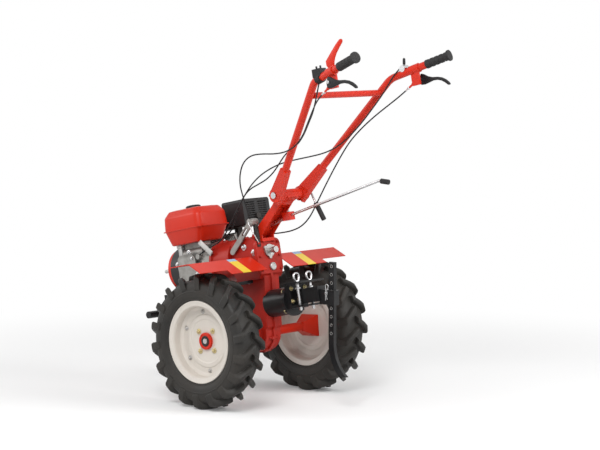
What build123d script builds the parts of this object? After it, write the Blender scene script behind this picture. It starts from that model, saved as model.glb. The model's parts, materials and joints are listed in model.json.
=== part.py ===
from build123d import *
import math
import os

# Motor cultivator with two driven wheels, in millimetres.
# X points forward, Y to the left, Z up, and the ground is Z = 0.
# The chassis is drawn in a leaning frame whose zero is the axle and whose X runs along the drive.

# Stance
axle_x = 118.7
nose_down_deg = 12.0
track = 661.0

# Clearances, cuts and plate
overrun = 2.0
running_gap = 0.3
fit_gap = 0.05
sheet = 2.5

# Tyres
tyre_radius = 290.0
carcass_radius = 267.0
tyre_half_width = 67.0
bead_radius = 156.0
# Share of the half width, share of the way from the bead to the crown
tyre_wall_shares = [(0.9, 0.3), (1.0, 0.5), (0.98, 0.74), (0.84, 0.93), (0.45, 1.0)]
lugs_per_side = 18
lug_width = 24.0
lug_sweep_deg = 38.0
lug_draft_deg = 5.0
lug_reach_share = 1.05
lug_root_share = 0.6
# Share of the lug's reach, share of its height
lug_shares = [(0.0, 0.0), (0.0, 1.0), (0.7, 1.0), (0.9, 0.82), (1.0, 0.5), (1.0, 0.0)]

# Rims and hubs
rim_flange_radius = 178.0
rim_half_width = 52.0
rim_wall = 3.0
disc_corner = 11.0
hub_tube_radius = 20.5
hub_plate_side = 96.0
hub_plate_wall = 8.0
hub_web_length = 62.0
hub_cap_radius = 36.5
hub_cap_height = 9.0
hub_start = 8.0
axle_radius = 15.0
axle_seat = 26.0
axle_seal_rise = 7.0
axle_seal_gap = 1.0
axle_nut_radius = 11.5
axle_nut_length = 9.0

# Gear case, with a box above and a leg down to the axle
case_half_upper = 68.0
case_half_leg = 46.0
case_rear = 125.0
case_front = 40.0
case_top_z = 415.0
case_floor_z = 232.0
# Share of the box's length from the rear, share of its height
case_box_shares = [
    (0.0, 0.1), (0.0, 0.86), (0.1, 0.94), (0.3, 1.0), (0.87, 0.973),
    (1.0, 0.836), (1.0, 0.164), (0.88, 0.0), (0.1, 0.0),
]
rear_cover_half = 76.0
rear_cover_depth = 16.0
rear_cover_low_z = 250.0
rear_cover_high_z = 402.0
rear_cover_corner = 26.0
cable_stop_x = -95.0
cable_stop_y = -53.0
cable_stop_low_z = 395.0
cable_stop_high_z = 434.0
cable_stop_radius = 8.0
leg_front = 60.0
leg_rear = 118.0
leg_drop = 10.0
leg_overlap = 8.0
# Share of the leg's length from the rear, share of its height
leg_shares = [
    (0.0, 1.0), (1.0, 1.0), (0.978, 0.28), (0.944, 0.04), (0.326, 0.0), (0.146, 0.12), (0.101, 0.44),
]
sump_radius = 80.0
axle_boss_radius = 54.0
case_flange_half = 7.0
case_flange_rise = 8.0
case_bolt_radius = 9.0
case_bolt_half = 15.0
# Share of the box's length, share of its height
case_bolt_shares = [(0.34, 1.02), (0.8, 1.01)]
leg_bolt_shares = [(0.985, 0.72), (0.975, 0.36), (0.06, 0.56)]
sump_bolt_degs = [-15.0, -62.0, -110.0, -158.0]

# Bell housing and clutch adaptor
crank_z = 330.0
bell_radius = 92.0
bell_end = 152.0
bell_flange_rise = 8.0
bell_flange_length = 12.0
bell_lugs = 6
bell_lug_radius = 8.0
adaptor_length = 50.0
adaptor_radius = 95.0
adaptor_ribs = 12
adaptor_rib_rise = 2.5
adaptor_rib_wall = 4.0

# Engine block
engine_base_z = case_floor_z
crankcase_length = 130.0
crankcase_half = 84.0
crankcase_top_z = 418.0
crankcase_corner = 26.0
engine_foot_inset = 8.0
engine_foot_reach = 12.0
engine_foot_wall = 12.0
tank_stand_half = 33.0
tank_stand_y = 38.0
tank_stand_inset = 15.0
stop_radius = 9.0
stop_height = 15.0
stop_y = 50.0
governor_radius = 12.0
governor_height = 20.0
governor_rise = 44.0

# Cylinder
head_tilt_deg = 25.0
barrel_start = 60.0
barrel_side = 84.0
fin_count = 8
fin_start = 96.0
fin_pitch = 10.0
fin_wall = 3.2
fin_length = 122.0
fin_width = 108.0
head_length = 124.0
head_width = 112.0
head_depth = 22.0
rocker_length = 84.0
rocker_width = 76.0
rocker_depth = 26.0

# Fan housing and recoil starter
fan_length = 62.0
fan_radius = 106.0
fan_duct_width = 124.0
fan_duct_reach = 190.0
recoil_radius = 96.0
recoil_depth = 44.0
recoil_corner_share = 0.4
recoil_slots = 14
recoil_slot_width = 8.0
recoil_slot_depth = 7.0
recoil_slot_inner = 36.0
recoil_slot_outer = 70.0

# Fuel tank
tank_x = 268.0
tank_y = 30.0
tank_seam_z = 506.0
tank_length = 246.0
tank_width = 204.0
tank_bottom_z = 440.0
tank_top_z = 600.0
tank_shoulder = 28.0
tank_corner = 30.0
tank_seam_wall = 4.0
tank_foot_shift = 8.0
tank_body_share = 0.97
tank_shoulder_share = 0.93
tank_roof_share = 0.66
tank_floor_share = 0.78
cap_radius = 29.0
cap_height = 24.0
cap_corner = 5.0

# Silencer and its guard
guard_x = 90.0
guard_length = 132.0
guard_y = -188.0
guard_width = 172.0
guard_bottom_z = 488.0
guard_top_z = 602.0
guard_corner = 12.0
slot_rows = 9
slot_margin = 13.0
slot_offset_share = 0.22
slot_width_share = 0.32
slot_height_share = 0.45
silencer_gap = 12.0
silencer_corner = 16.0
silencer_drop = 6.0
outlet_radius = 13.0
outlet_z = 522.0
outlet_reach = 8.0
exhaust_x = 207.0
exhaust_width = 22.0
exhaust_depth = 30.0
exhaust_start_z = 430.0

# Air filter and carburettor
filter_length = 94.0
filter_y = -166.0
filter_width = 96.0
filter_bottom_z = 480.0
filter_height = 104.0
filter_corner = 18.0
filter_gap = 14.0
carburettor_x = 268.0
carburettor_length = 64.0
carburettor_y = -94.0
carburettor_width = 32.0
carburettor_bottom_z = 455.0
carburettor_top_z = 506.0
intake_length = 44.0
intake_width = 24.0
intake_start_z = 420.0
throat_radius = 18.0

# Engine rails, front plate and tube
rail_y = 78.0
rail_width = 36.0
rail_depth = 14.0
rail_start = -60.0
rail_end = 470.0
rail_plate_wall = 8.0
rail_plate_start = 190.0
rail_plate_end = 330.0
front_plate_wall = 18.0
front_plate_drop = 44.0
ear_y = 67.0
ear_wall = 10.0
ear_reach = 24.0
bumper_radius = 16.0
bumper_half = 150.0

# Front stand, upright on the ground
stand_x = 555.0
stand_z = 330.0
stand_foot_x = 500.0
stand_foot_length = 64.0
stand_foot_width = 96.0
stand_foot_wall = 6.0
stand_leg_radius = 15.0
stand_sleeve_half = 58.0
stand_sleeve_wall = 6.0
stand_stop_radius = 5.0
stand_stop_x = 9.0

# Handle post, a channel open behind
post_half = 39.0
post_wall = 6.0
post_foot_z = 390.0
post_top_z = 592.0
post_front = -60.0
post_rear = -322.0
# Share of the way from the rear to the front, share of the height
post_shares = [
    (1.0, 0.05), (0.718, 0.0), (0.718, 0.134), (0.164, 0.748), (0.0, 0.822),
    (0.015, 0.99), (0.16, 1.0), (0.385, 0.718), (0.931, 0.188),
]
post_hollow_shares = [(0.893, 0.074), (0.656, 0.074), (0.122, 0.668), (0.145, 0.713), (0.359, 0.653)]

# Handle pivot
pivot_x = -299.0
pivot_z = 571.0
cross_tube_radius = 23.0
cross_tube_half = 58.0
tooth_disc_radius = 29.0
tooth_disc_wall = 7.0
disc_teeth = 24
disc_tooth_rise = 2.5
pivot_bolt_radius = 8.0
pivot_head_radius = 14.0
pivot_head_length = 10.0
pivot_recess_radius = 15.0

# Handles
handle_tube_radius = 16.0
gusset_wall = 30.0
gusset_foot = 26.0
gusset_length = 150.0
gusset_depth = 62.0
gusset_overlap = 80.0
crossbar_radius = 13.5
crossbar_x = -709.0
crossbar_z = 933.0
crossbar_half = 224.0
bend_x = -756.0
bend_y = 241.0
bend_z = 984.0
bend_radius = 85.0
grip_end_x = -1046.0
grip_end_y = 300.0
grip_end_z = 1029.0

# Grips and controls, placed by the distance back from the handle's end
grip_length = 118.0
grip_radius = 19.0
grip_groove = 2.5
grip_grooves = 4
grip_flange_rise = 5.0
grip_flange_length = 7.0
grip_end_wall = 6.0
bracket_near = 152.0
bracket_far = 198.0
bracket_wall = 4.0
bracket_drop = 66.0
bracket_plate_wall = 12.0
bracket_plate_shift = 1.0
lever_radius = 6.5
lever_side = 14.0
lever_root = 186.0
lever_root_drop = 52.0
lever_knee = 100.0
lever_knee_drop = 60.0
lever_tip = 18.0
lever_tip_drop = 108.0
lever_tip_side = 10.0
lever_bend = 60.0
lever_boss_radius = 9.0
red_lever_at = 176.0
red_lever_wall = 7.0
red_lever_foot = 30.0
red_lever_head = 18.0
red_lever_tip_x = -956.0
red_lever_tip_y = 270.0
red_lever_tip_z = 1118.0
switch_at = 258.0
switch_rise = 22.0
switch_length = 44.0
switch_width = 40.0
switch_height = 34.0
switch_clamp_length = 30.0
switch_clamp_wall = 5.0
toggle_radius = 4.0
toggle_length = 12.0
throttle_at = 226.0
throttle_rise = 20.0
throttle_radius = 15.0
throttle_half = 16.0
throttle_arm_radius = 4.0
throttle_arm_length = 44.0
throttle_arm_back = 8.0

# Gear lever and its clamp block
shift_y = -20.0
shift_x = -252.0
shift_z = 481.0
shift_radius = 6.0
shift_knee_x = -794.0
shift_knee_z = 551.0
shift_end_x = -816.0
shift_end_z = 545.0
shift_bend = 25.0
shift_block_rear = 276.0
shift_block_front = 232.0
shift_block_width = 32.0
shift_block_low = 462.0
shift_block_high = 498.0
shift_stem_radius = 8.0
shift_stem_x = -140.0
shift_stem_z = 455.0
lever_grip_radius = 11.0
lever_grip_length = 40.0
turn_grip_length = 84.0
lever_grip_overlap = 10.0

# Turning lever, on a plate at the right of the post
turn_radius = 5.0
turn_y = -50.0
turn_out_y = -140.0
turn_high_z = 600.0
turn_start_x = -140.0
turn_knee_x = -192.0
turn_out_x = -236.0
turn_out_z = 571.0
turn_rear_x = -293.0
turn_drop_x = -318.0
turn_drop_z = 512.0
turn_bend = 12.0
turn_plate_z = 500.0
turn_plate_width = 28.0
turn_plate_lean = 30.0

# Clutch arm
arm_y = 80.0
arm_x = -122.0
arm_z = 480.0
arm_end_x = 14.0
arm_end_z = 366.0
arm_width = 26.0
arm_wall = 8.0
arm_slot_length = 46.0
arm_slot_width = 10.0
arm_boss_radius = 15.0
arm_boss_start = 48.0
arm_boss_end = 92.0
arm_stem_y = 56.0
arm_stem_radius = 11.0
arm_stem_foot = 370.0

# Bearing cover, filler and sight plug on the gear case's rear face
cover_y = 2.0
cover_z = 349.0
cover_radius = 28.0
cover_depth = 10.0
cover_ears = 3
cover_ear_radius = 8.0
cover_stem_radius = 11.0
cover_stem_length = 30.0
cover_knob_radius = 14.0
cover_knob_length = 18.0
sight_y = -8.0
sight_z = 279.0
sight_radius = 17.0
sight_depth = 6.0

# Rear casting and hitch
casting_z = 118.0
casting_radius = 60.0
casting_start = -98.0
casting_end = -232.0
casting_flange_rise = 8.0
casting_flange_length = 14.0
casting_bolts = 4
casting_bolt_radius = 8.0
hitch_face = -262.0
hitch_rear = -340.0
hitch_head_half = 52.0
hitch_bottom_z = 80.0
hitch_top_z = 193.0
hitch_plate_wall = 8.0
hitch_top_half = 88.0
hitch_low_half = 60.0
hitch_low_rise = 3.0
hitch_pin_x = -300.0
hitch_pin_y = 40.0
hitch_pin_radius = 7.0
hitch_pin_foot = 68.0
hitch_pin_head = 200.0
pin_collar_radius = 12.0
pin_collar_height = 6.0
pin_eye_outer = 19.0
pin_eye_inner = 9.0
pin_eye_wall = 9.0
pin_eye_z = 214.0
drawbar_rear = -400.0
drawbar_half = 27.0
drawbar_low_z = 96.0
drawbar_high_z = 160.0
# Where the rear row of holes crosses the drawbar's side
clip_x = -352.0

# Coulter and its socket, upright on the ground, with heights from the drawbar's rear end
coulter_x = -423.0
coulter_long = 30.0
coulter_thick = 16.0
coulter_rise = 138.0
coulter_bend_drop = 208.0
coulter_bend_radius = 190.0
coulter_tip_x = 88.0
coulter_tip_drop = 348.0
coulter_first_hole_drop = 168.0
coulter_hole_pitch = 36.0
coulter_hole_radius = 5.0
coulter_hole_margin = 12.0
socket_wall = 8.0
socket_drop = 46.0
socket_rise = 18.0
socket_arm = 60.0

# Fenders
fender_inner_y = 80.0
fender_joint_y = 300.0
fender_lap = 12.0
fender_outer_y = 461.0
fender_fold_x = -88.0
fender_z = 332.0
fender_length = 110.0
fender_sheet = 3.0
fender_bead = 6.0
flap_slope_deg = 36.0
flap_outer = 80.0
flap_inner = 112.0
fender_bracket_x = -58.0
fender_bracket_length = 80.0
fender_bracket_reach = 30.0
fender_bracket_wall = 6.0

# Cables, each a list of places in millimetres on the ground frame
cable_diameter = 6.0
cable_round_share = 0.45
adjuster_radius = 4.5
adjuster_length = 40.0
adjuster_nut_radius = 7.0
adjuster_nut_length = 8.0
clutch_route = [
    (-493, 262, 1371), (-447, 256, 1339), (-389, 226, 1283), (-338, 198, 1231), (-296, 180, 1180),
    (-254, 174, 1138), (-200, 176, 1108), (-135, 181, 1096), (-65, 183, 1094), (0, 183, 1085),
    (50, 179, 1053), (84, 165, 1002), (100, 148, 948), (99, 129, 895), (93, 113, 846), (90, 97, 800),
]
switch_route = [
    (-447, 248, 1402), (-434, 243, 1369), (-411, 230, 1325), (-376, 206, 1279), (-325, 176, 1234),
    (-276, 148, 1187), (-223, 125, 1144), (-174, 112, 1115), (-124, 99, 1094), (-80, 85, 1057),
    (-30, 70, 1011), (27, 58, 973), (85, 50, 948), (137, 52, 923), (170, 60, 883), (190, 68, 835),
    (209, 66, 782), (235, 61, 738), (278, 56, 704), (335, 53, 682), (374, 51, 671), (411, 50, 665),
]
throttle_route = [
    (-466, -244, 1455), (-447, -226, 1427), (-426, -217, 1387), (-398, -208, 1341), (-363, -190, 1287),
    (-325, -175, 1234), (-285, -158, 1184), (-247, -140, 1142), (-214, -112, 1110), (-174, -80, 1087),
    (-125, -38, 1072), (-78, 0, 1059), (-33, 32, 1044), (14, 50, 1020), (62, 60, 990), (105, 68, 950),
    (139, 76, 902), (170, 80, 852), (202, 81, 803), (232, 82, 755), (258, 85, 710), (290, 90, 680),
    (332, 96, 660), (372, 98, 638), (410, 96, 614),
]
reverse_route = [
    (-504, -262, 1375), (-462, -257, 1341), (-412, -232, 1297), (-362, -201, 1250), (-313, -173, 1198),
    (-268, -154, 1145), (-230, -146, 1090), (-194, -141, 1033), (-160, -135, 975), (-130, -126, 916),
    (-105, -112, 857), (-85, -95, 804), (-52, -78, 764), (-6, -64, 743), (41, -57, 733), (78, -54, 727),
    (110, -53, 724),
]

lean = math.radians(nose_down_deg)
parked = Location((axle_x, 0, tyre_radius), (0, nose_down_deg, 0))
upright = Location((axle_x, 0, 0))
STAND_ON = (Align.CENTER, Align.CENTER, Align.MIN)
engine_x = bell_end + adaptor_length
fan_x = engine_x + crankcase_length
recoil_x = fan_x + fan_length
pivot_reach = cross_tube_half + tooth_disc_wall + running_gap
nodes = {}


def drawbar_height():
    """How high the rear end of the parked drawbar is above the ground."""
    return (parked * Pos(drawbar_rear, 0, (drawbar_low_z + drawbar_high_z) / 2)).position.Z


def leaning(x, y, z):
    """A place on the ground frame, as the leaning frame has it."""
    x = x - axle_x
    z = z - tyre_radius
    return (x * math.cos(lean) - z * math.sin(lean), y, x * math.sin(lean) + z * math.cos(lean))


def spread(shares, x, z, length, height):
    """Points of an outline whose rear lower corner is at x, z."""
    return [(x + along * length, z + up * height) for along, up in shares]


def flat(points, y):
    """A face upright along X, from (x, z) points."""
    return make_face(Polyline(*[(x, y, z) for x, z in points], close=True))


def side(points, y_low, y_high):
    """A plate with an outline of (x, z) points, from y_low to y_high."""
    return extrude(flat(points, y_low), amount=y_high - y_low, dir=(0, 1, 0))


def block(x0, x1, y0, y1, z0, z1):
    x0, x1 = sorted((x0, x1))
    y0, y1 = sorted((y0, y1))
    return Pos((x0 + x1) / 2, (y0 + y1) / 2, z0) * Box(x1 - x0, y1 - y0, z1 - z0, align=STAND_ON)


def rod(start, end, radius):
    way = Vector(*end) - Vector(*start)
    return Plane(origin=start, z_dir=way) * Cylinder(radius, way.length, align=STAND_ON)


def across(x, z, y0, y1, radius):
    """A round bar along Y."""
    return rod((x, y0, z), (x, y1, z), radius)


def bent_rod(points, radius, bends):
    path = FilletPolyline(*points, radius=bends)
    return sweep(Plane(origin=path @ 0, z_dir=path % 0) * Circle(radius), path=path)


def turned(profile, start, end):
    """A turned solid along a line, from (distance, radius) points."""
    ends = [(0, 0, profile[0][0])] + [(radius, 0, along) for along, radius in profile]
    ends = ends + [(0, 0, profile[-1][0])]
    solid = revolve(make_face(Polyline(*ends, close=True)), axis=Axis.Z)
    return Plane(origin=start, z_dir=Vector(*end) - Vector(*start)) * solid


def spun(points):
    """A ring about Y from (y, radius) points."""
    outline = Polyline(*[(radius, y, 0) for y, radius in points], close=True)
    return revolve(make_face(outline), axis=Axis.Y)


def mirrored(points):
    return points + [(-y, radius) for y, radius in reversed(points)]


def pair(piece):
    return Compound(children=[piece, mirror(piece, about=Plane.XZ)])


def lug(hand):
    """One bar of the tread, from the middle out over the shoulder, with a flat top."""
    reach = tyre_half_width * lug_reach_share
    run = math.tan(math.radians(lug_sweep_deg)) * reach
    root = bead_radius + (carcass_radius - bead_radius) * lug_root_share
    top = math.sqrt(tyre_radius**2 - ((run + lug_width) / 2) ** 2)
    left, right = (run - lug_width) / 2, (run + lug_width) / 2
    plan = [(right, 0), (left, 0), (-right, reach), (-left, reach)]
    draft = math.tan(math.radians(lug_draft_deg)) * (top - root)
    foot = make_face(Polyline(*plan, close=True))
    crest = offset(foot, amount=-draft, kind=Kind.INTERSECTION)
    bar = loft([Pos(0, 0, root) * foot, Pos(0, 0, top) * crest])
    section = [(reach * out, root + (top - root) * up) for out, up in lug_shares]
    section_face = make_face(Polyline(*[(-run - lug_width, y, z) for y, z in section], close=True))
    bar = bar & extrude(section_face, amount=2 * (run + lug_width), dir=(1, 0, 0))
    return bar if hand > 0 else mirror(bar, about=Plane.XZ)


def tyre():
    rise = carcass_radius - bead_radius
    bead_y = rim_half_width - running_gap
    outer = [(bead_y, bead_radius), (bead_y, rim_flange_radius + running_gap)]
    outer = outer + [(tyre_half_width * out, bead_radius + rise * up) for out, up in tyre_wall_shares]
    carcass = spun(mirrored(outer))
    bars = []
    for hand in (1, -1):
        bar = lug(hand)
        for i in range(lugs_per_side):
            stagger = 0.25 if hand > 0 else 0.75
            bars.append(Rot(0, 360 / lugs_per_side * (i + stagger), 0) * bar)
    return carcass.fuse(*bars)


def rim():
    seat = bead_radius - running_gap
    inner = seat - rim_wall * 1.6
    outer_y = rim_half_width + rim_wall
    half = [
        (rim_wall, hub_cap_radius - overrun),
        (rim_wall, inner - disc_corner),
        (disc_corner + rim_wall, inner),
        (outer_y, inner),
        (outer_y, rim_flange_radius),
        (rim_half_width, rim_flange_radius),
        (rim_half_width, seat),
    ]
    return spun(mirrored(half))


def hub(phase):
    """The hub of the left wheel: tube, square flange with four webs, and outer cap."""
    disc = track / 2
    back = disc - rim_wall - hub_plate_wall
    start = case_half_upper + hub_start
    end = disc + rim_wall + hub_cap_height
    plate = Pos(0, back + hub_plate_wall / 2, 0) * Box(hub_plate_side, hub_plate_wall, hub_plate_side)
    low = 1.96 * hub_tube_radius
    wide = 0.98 * hub_plate_side
    webs = loft([
        Pos(0, back - hub_web_length, 0) * Rot(90, 0, 0) * Rectangle(low, low),
        Pos(0, back, 0) * Rot(90, 0, 0) * Rectangle(wide, wide),
    ])
    solid = across(0, 0, start, back, hub_tube_radius) + Rot(0, phase, 0) * (plate + webs)
    solid = solid + across(0, 0, back, end, hub_cap_radius - overrun - running_gap)
    solid = solid + across(0, 0, disc + rim_wall, end, hub_cap_radius)
    return solid - across(0, 0, start - overrun, end + overrun, axle_radius)


def axle_end():
    start = case_half_upper - axle_seat
    seal_end = case_half_upper + hub_start
    end = track / 2 + rim_wall + hub_cap_height
    nut_start = end - axle_nut_length * 0.67
    shaft = across(0, 0, start, nut_start, axle_radius)
    seal = across(0, 0, case_half_upper + axle_seal_gap, seal_end, axle_radius + axle_seal_rise)
    return shaft + seal + across(0, 0, nut_start, nut_start + axle_nut_length, axle_nut_radius)


def wheels():
    for name, hand, phase in (("left", 1, -7.0), ("right", -1, 4.0)):
        plane = Pos(axle_x, hand * track / 2, tyre_radius)
        centre = Pos(axle_x, 0, tyre_radius)
        nodes[f"tyre_{name}"] = plane * tyre()
        nodes[f"rim_{name}"] = plane * rim()
        for node, piece in ((f"hub_{name}", hub(phase)), (f"axle_{name}", axle_end())):
            nodes[node] = centre * (piece if hand > 0 else mirror(piece, about=Plane.XZ))


def case_box():
    return spread(
        case_box_shares, -case_rear, case_floor_z, case_rear + case_front, case_top_z - case_floor_z
    )


def case_leg():
    return spread(
        leg_shares, -leg_rear, -leg_drop, leg_rear + leg_front, case_floor_z + leg_drop + leg_overlap
    )


def case_bolts():
    """Bolt bosses round the joint between the two halves of the case."""
    places = spread(
        case_bolt_shares, -case_rear, case_floor_z, case_rear + case_front, case_top_z - case_floor_z
    )
    places = places + spread(
        leg_bolt_shares, -leg_rear, -leg_drop, leg_rear + leg_front, case_floor_z + leg_drop
    )
    for degrees in sump_bolt_degs:
        angle = math.radians(degrees)
        places.append((sump_radius * math.cos(angle), sump_radius * math.sin(angle)))
    return [across(x, z, -case_bolt_half, case_bolt_half, case_bolt_radius) for x, z in places]


def gear_case():
    solid = side(case_box(), -case_half_upper, case_half_upper)
    solid = solid + side(case_leg(), -case_half_leg, case_half_leg)
    solid = solid + across(0, 0, -case_half_leg, case_half_leg, sump_radius)
    for outline in (case_box(), case_leg()):
        rim_face = offset(flat(outline, -case_flange_half), amount=case_flange_rise, kind=Kind.INTERSECTION)
        solid = solid + extrude(rim_face, amount=2 * case_flange_half, dir=(0, 1, 0))
    solid = solid + across(0, 0, -case_flange_half, case_flange_half, sump_radius + case_flange_rise)
    solid = solid + case_bolts() - block(-2 * case_rear, -case_rear, -case_half_leg, case_half_leg, 0, case_top_z)
    cover = block(
        -case_rear, rear_cover_depth - case_rear, -rear_cover_half, rear_cover_half,
        rear_cover_low_z, rear_cover_high_z,
    )
    solid = solid + fillet(cover.edges().filter_by(Axis.X), rear_cover_corner)
    stop_foot = (cable_stop_x, cable_stop_y, cable_stop_low_z)
    solid = solid + rod(stop_foot, (cable_stop_x, cable_stop_y, cable_stop_high_z), cable_stop_radius)
    solid = solid + across(0, 0, -case_half_upper, case_half_upper, axle_boss_radius)
    seat = case_half_upper - axle_seat - running_gap
    for hand in (1, -1):
        solid = solid - across(0, 0, hand * seat, hand * (case_half_upper + overrun), axle_radius + fit_gap)
    return solid


def round_lugs(x0, x1, circle, count, radius):
    """Bolt lugs round the crank's line."""
    lugs = []
    for i in range(count):
        angle = math.radians(360 / count * (i + 0.5))
        y, z = circle * math.cos(angle), crank_z + circle * math.sin(angle)
        lugs.append(rod((x0, y, z), (x1, y, z), radius))
    return lugs


def bell_housing():
    solid = rod((case_front, 0, crank_z), (bell_end, 0, crank_z), bell_radius)
    flange_x = bell_end - bell_flange_length
    solid = solid + rod((flange_x, 0, crank_z), (bell_end, 0, crank_z), bell_radius + bell_flange_rise)
    lugs = round_lugs(flange_x, bell_end, bell_radius + bell_flange_rise, bell_lugs, bell_lug_radius)
    return solid + lugs - gear_case()


def clutch_adaptor():
    solid = rod((bell_end, 0, crank_z), (engine_x, 0, crank_z), adaptor_radius)
    flange_end = bell_end + bell_flange_length
    solid = solid + rod((bell_end, 0, crank_z), (flange_end, 0, crank_z), bell_radius + bell_flange_rise)
    solid = solid + round_lugs(
        bell_end, flange_end, bell_radius + bell_flange_rise, bell_lugs, bell_lug_radius
    )
    for i in range(adaptor_ribs):
        rib = Pos(0, 0, crank_z) * Rot(360 / adaptor_ribs * i, 0, 0)
        low, high = adaptor_radius - overrun, adaptor_radius + adaptor_rib_rise
        half = adaptor_rib_wall / 2
        solid = solid + rib * block(flange_end - overrun, engine_x, -half, half, low, high)
    return solid


def crankcase():
    body = block(engine_x, fan_x, -crankcase_half, crankcase_half, engine_base_z, crankcase_top_z)
    body = fillet(body.edges().filter_by(Axis.X), crankcase_corner)
    foot_half = crankcase_half + engine_foot_reach
    feet = block(
        engine_x + engine_foot_inset, fan_x - engine_foot_inset, -foot_half, foot_half,
        engine_base_z, engine_base_z + engine_foot_wall,
    )
    stand = block(
        engine_x + tank_stand_inset, fan_x - tank_stand_inset, tank_stand_y - tank_stand_half,
        tank_stand_y + tank_stand_half, crankcase_top_z - overrun, tank_bottom_z,
    )
    stop_x = engine_x + stop_radius
    stop_top = crankcase_top_z + stop_height
    stop = rod((stop_x, stop_y, crankcase_top_z - overrun), (stop_x, stop_y, stop_top), stop_radius)
    governor = across(
        engine_x + governor_radius, crank_z + governor_rise, crankcase_half - overrun,
        crankcase_half + governor_height, governor_radius,
    )
    return body + feet + stand + stop + governor


def tilted(distance, size_x, size_across, size_along):
    """A block on the tilted cylinder line, its near face at a distance from the crank."""
    x = engine_x + crankcase_length / 2
    turn = Pos(x, 0, crank_z) * Rot(90 - head_tilt_deg, 0, 0) * Pos(0, 0, distance)
    return turn * Box(size_x, size_across, size_along, align=STAND_ON)


def cylinder():
    fins_end = fin_start + fin_count * fin_pitch
    solid = tilted(barrel_start, barrel_side, barrel_side, fins_end - barrel_start + overrun)
    for i in range(fin_count):
        solid = solid + tilted(fin_start + i * fin_pitch, fin_length, fin_width, fin_wall)
    solid = solid + tilted(fins_end, head_length, head_width, head_depth)
    solid = solid + tilted(fins_end + head_depth, rocker_length, rocker_width, rocker_depth)
    return (solid - crankcase()).solids().sort_by(SortBy.VOLUME)[-1]


def fan_housing():
    solid = rod((fan_x, 0, crank_z), (recoil_x, 0, crank_z), fan_radius)
    duct = Rot(90 - head_tilt_deg, 0, 0) * Box(fan_length, fan_duct_width, fan_duct_reach, align=STAND_ON)
    return solid + Pos((fan_x + recoil_x) / 2, 0, crank_z) * duct


def recoil_cover():
    solid = rod((recoil_x, 0, crank_z), (recoil_x + recoil_depth, 0, crank_z), recoil_radius)
    front_edge = solid.edges().filter_by(GeomType.CIRCLE).sort_by(Axis.X)[-1]
    solid = chamfer(front_edge, recoil_depth * recoil_corner_share)
    face = recoil_x + recoil_depth
    slots = []
    for i in range(recoil_slots):
        turn = Pos(0, 0, crank_z) * Rot(360 / recoil_slots * i, 0, 0)
        half = recoil_slot_width / 2
        low = face - recoil_slot_depth
        slots.append(turn * block(low, face + overrun, -half, half, recoil_slot_inner, recoil_slot_outer))
    return solid - slots


def fuel_tank():
    def ring(z, share, shift=0.0):
        outline = RectangleRounded(tank_length * share, tank_width * share, tank_corner * share)
        return Pos(tank_x + shift, tank_y, z) * outline

    shoulder_z = tank_top_z - tank_shoulder
    solid = loft([ring(tank_seam_z, tank_body_share), ring(shoulder_z, tank_shoulder_share)], ruled=True)
    solid = solid + loft(
        [ring(shoulder_z, tank_shoulder_share), ring(tank_top_z, tank_roof_share)], ruled=True
    )
    floor = ring(tank_bottom_z, tank_floor_share, tank_foot_shift)
    solid = solid + loft([floor, ring(tank_seam_z, tank_body_share)], ruled=True)
    return solid + Pos(0, 0, -tank_seam_wall / 2) * extrude(ring(tank_seam_z, 1.0), amount=tank_seam_wall)


def tank_cap():
    solid = Pos(tank_x, tank_y, tank_top_z) * Cylinder(cap_radius, cap_height, align=STAND_ON)
    return chamfer(solid.edges().filter_by(GeomType.CIRCLE).sort_by(Axis.Z)[-1], cap_corner)


def silencer_guard():
    y0 = guard_y - guard_width / 2
    y1 = guard_y + guard_width / 2
    x1 = guard_x + guard_length
    shell = block(guard_x, x1, y0, y1, guard_bottom_z, guard_top_z)
    shell = fillet(shell.edges().filter_by(Axis.X).group_by(Axis.Z)[-1], guard_corner)
    shell = shell - block(
        guard_x + sheet, x1 - sheet, y0 + sheet, y1 - sheet, guard_bottom_z - overrun, guard_top_z - sheet
    )
    pitch = (guard_top_z - guard_bottom_z - 2 * slot_margin) / slot_rows
    slots = []
    for column in (-1, 1):
        for row in range(slot_rows):
            z = guard_top_z - slot_margin - (row + 0.4) * pitch
            y = guard_y + column * guard_width * slot_offset_share
            slots.append(
                Pos(guard_x, y, z) * Box(4 * sheet, guard_width * slot_width_share, pitch * slot_height_share),
            )
    start = guard_x - outlet_reach
    outlet = rod(
        (start, guard_y, outlet_z), (guard_x + silencer_gap, guard_y, outlet_z), outlet_radius + running_gap
    )
    return shell - slots - outlet


def silencer():
    x0, x1 = guard_x + silencer_gap, guard_x + guard_length - silencer_gap
    y0, y1 = guard_y - guard_width / 2 + silencer_gap, guard_y + guard_width / 2 - silencer_gap
    solid = block(x0, x1, y0, y1, guard_bottom_z - silencer_drop, guard_top_z - silencer_gap)
    outlet = rod(
        (guard_x - outlet_reach, guard_y, outlet_z), (x0 + silencer_gap, guard_y, outlet_z), outlet_radius
    )
    pipe = block(
        exhaust_x - exhaust_width / 2, exhaust_x + exhaust_width / 2, guard_y, guard_y + exhaust_depth,
        exhaust_start_z, guard_bottom_z,
    )
    return fillet(solid.edges().filter_by(Axis.Y), silencer_corner) + outlet + (pipe - cylinder())


def air_filter():
    x0 = guard_x + guard_length + filter_gap
    half = filter_width / 2
    top = filter_bottom_z + filter_height
    solid = block(x0, x0 + filter_length, filter_y - half, filter_y + half, filter_bottom_z, top)
    return fillet(solid.edges().filter_by(Axis.Z), filter_corner)


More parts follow.
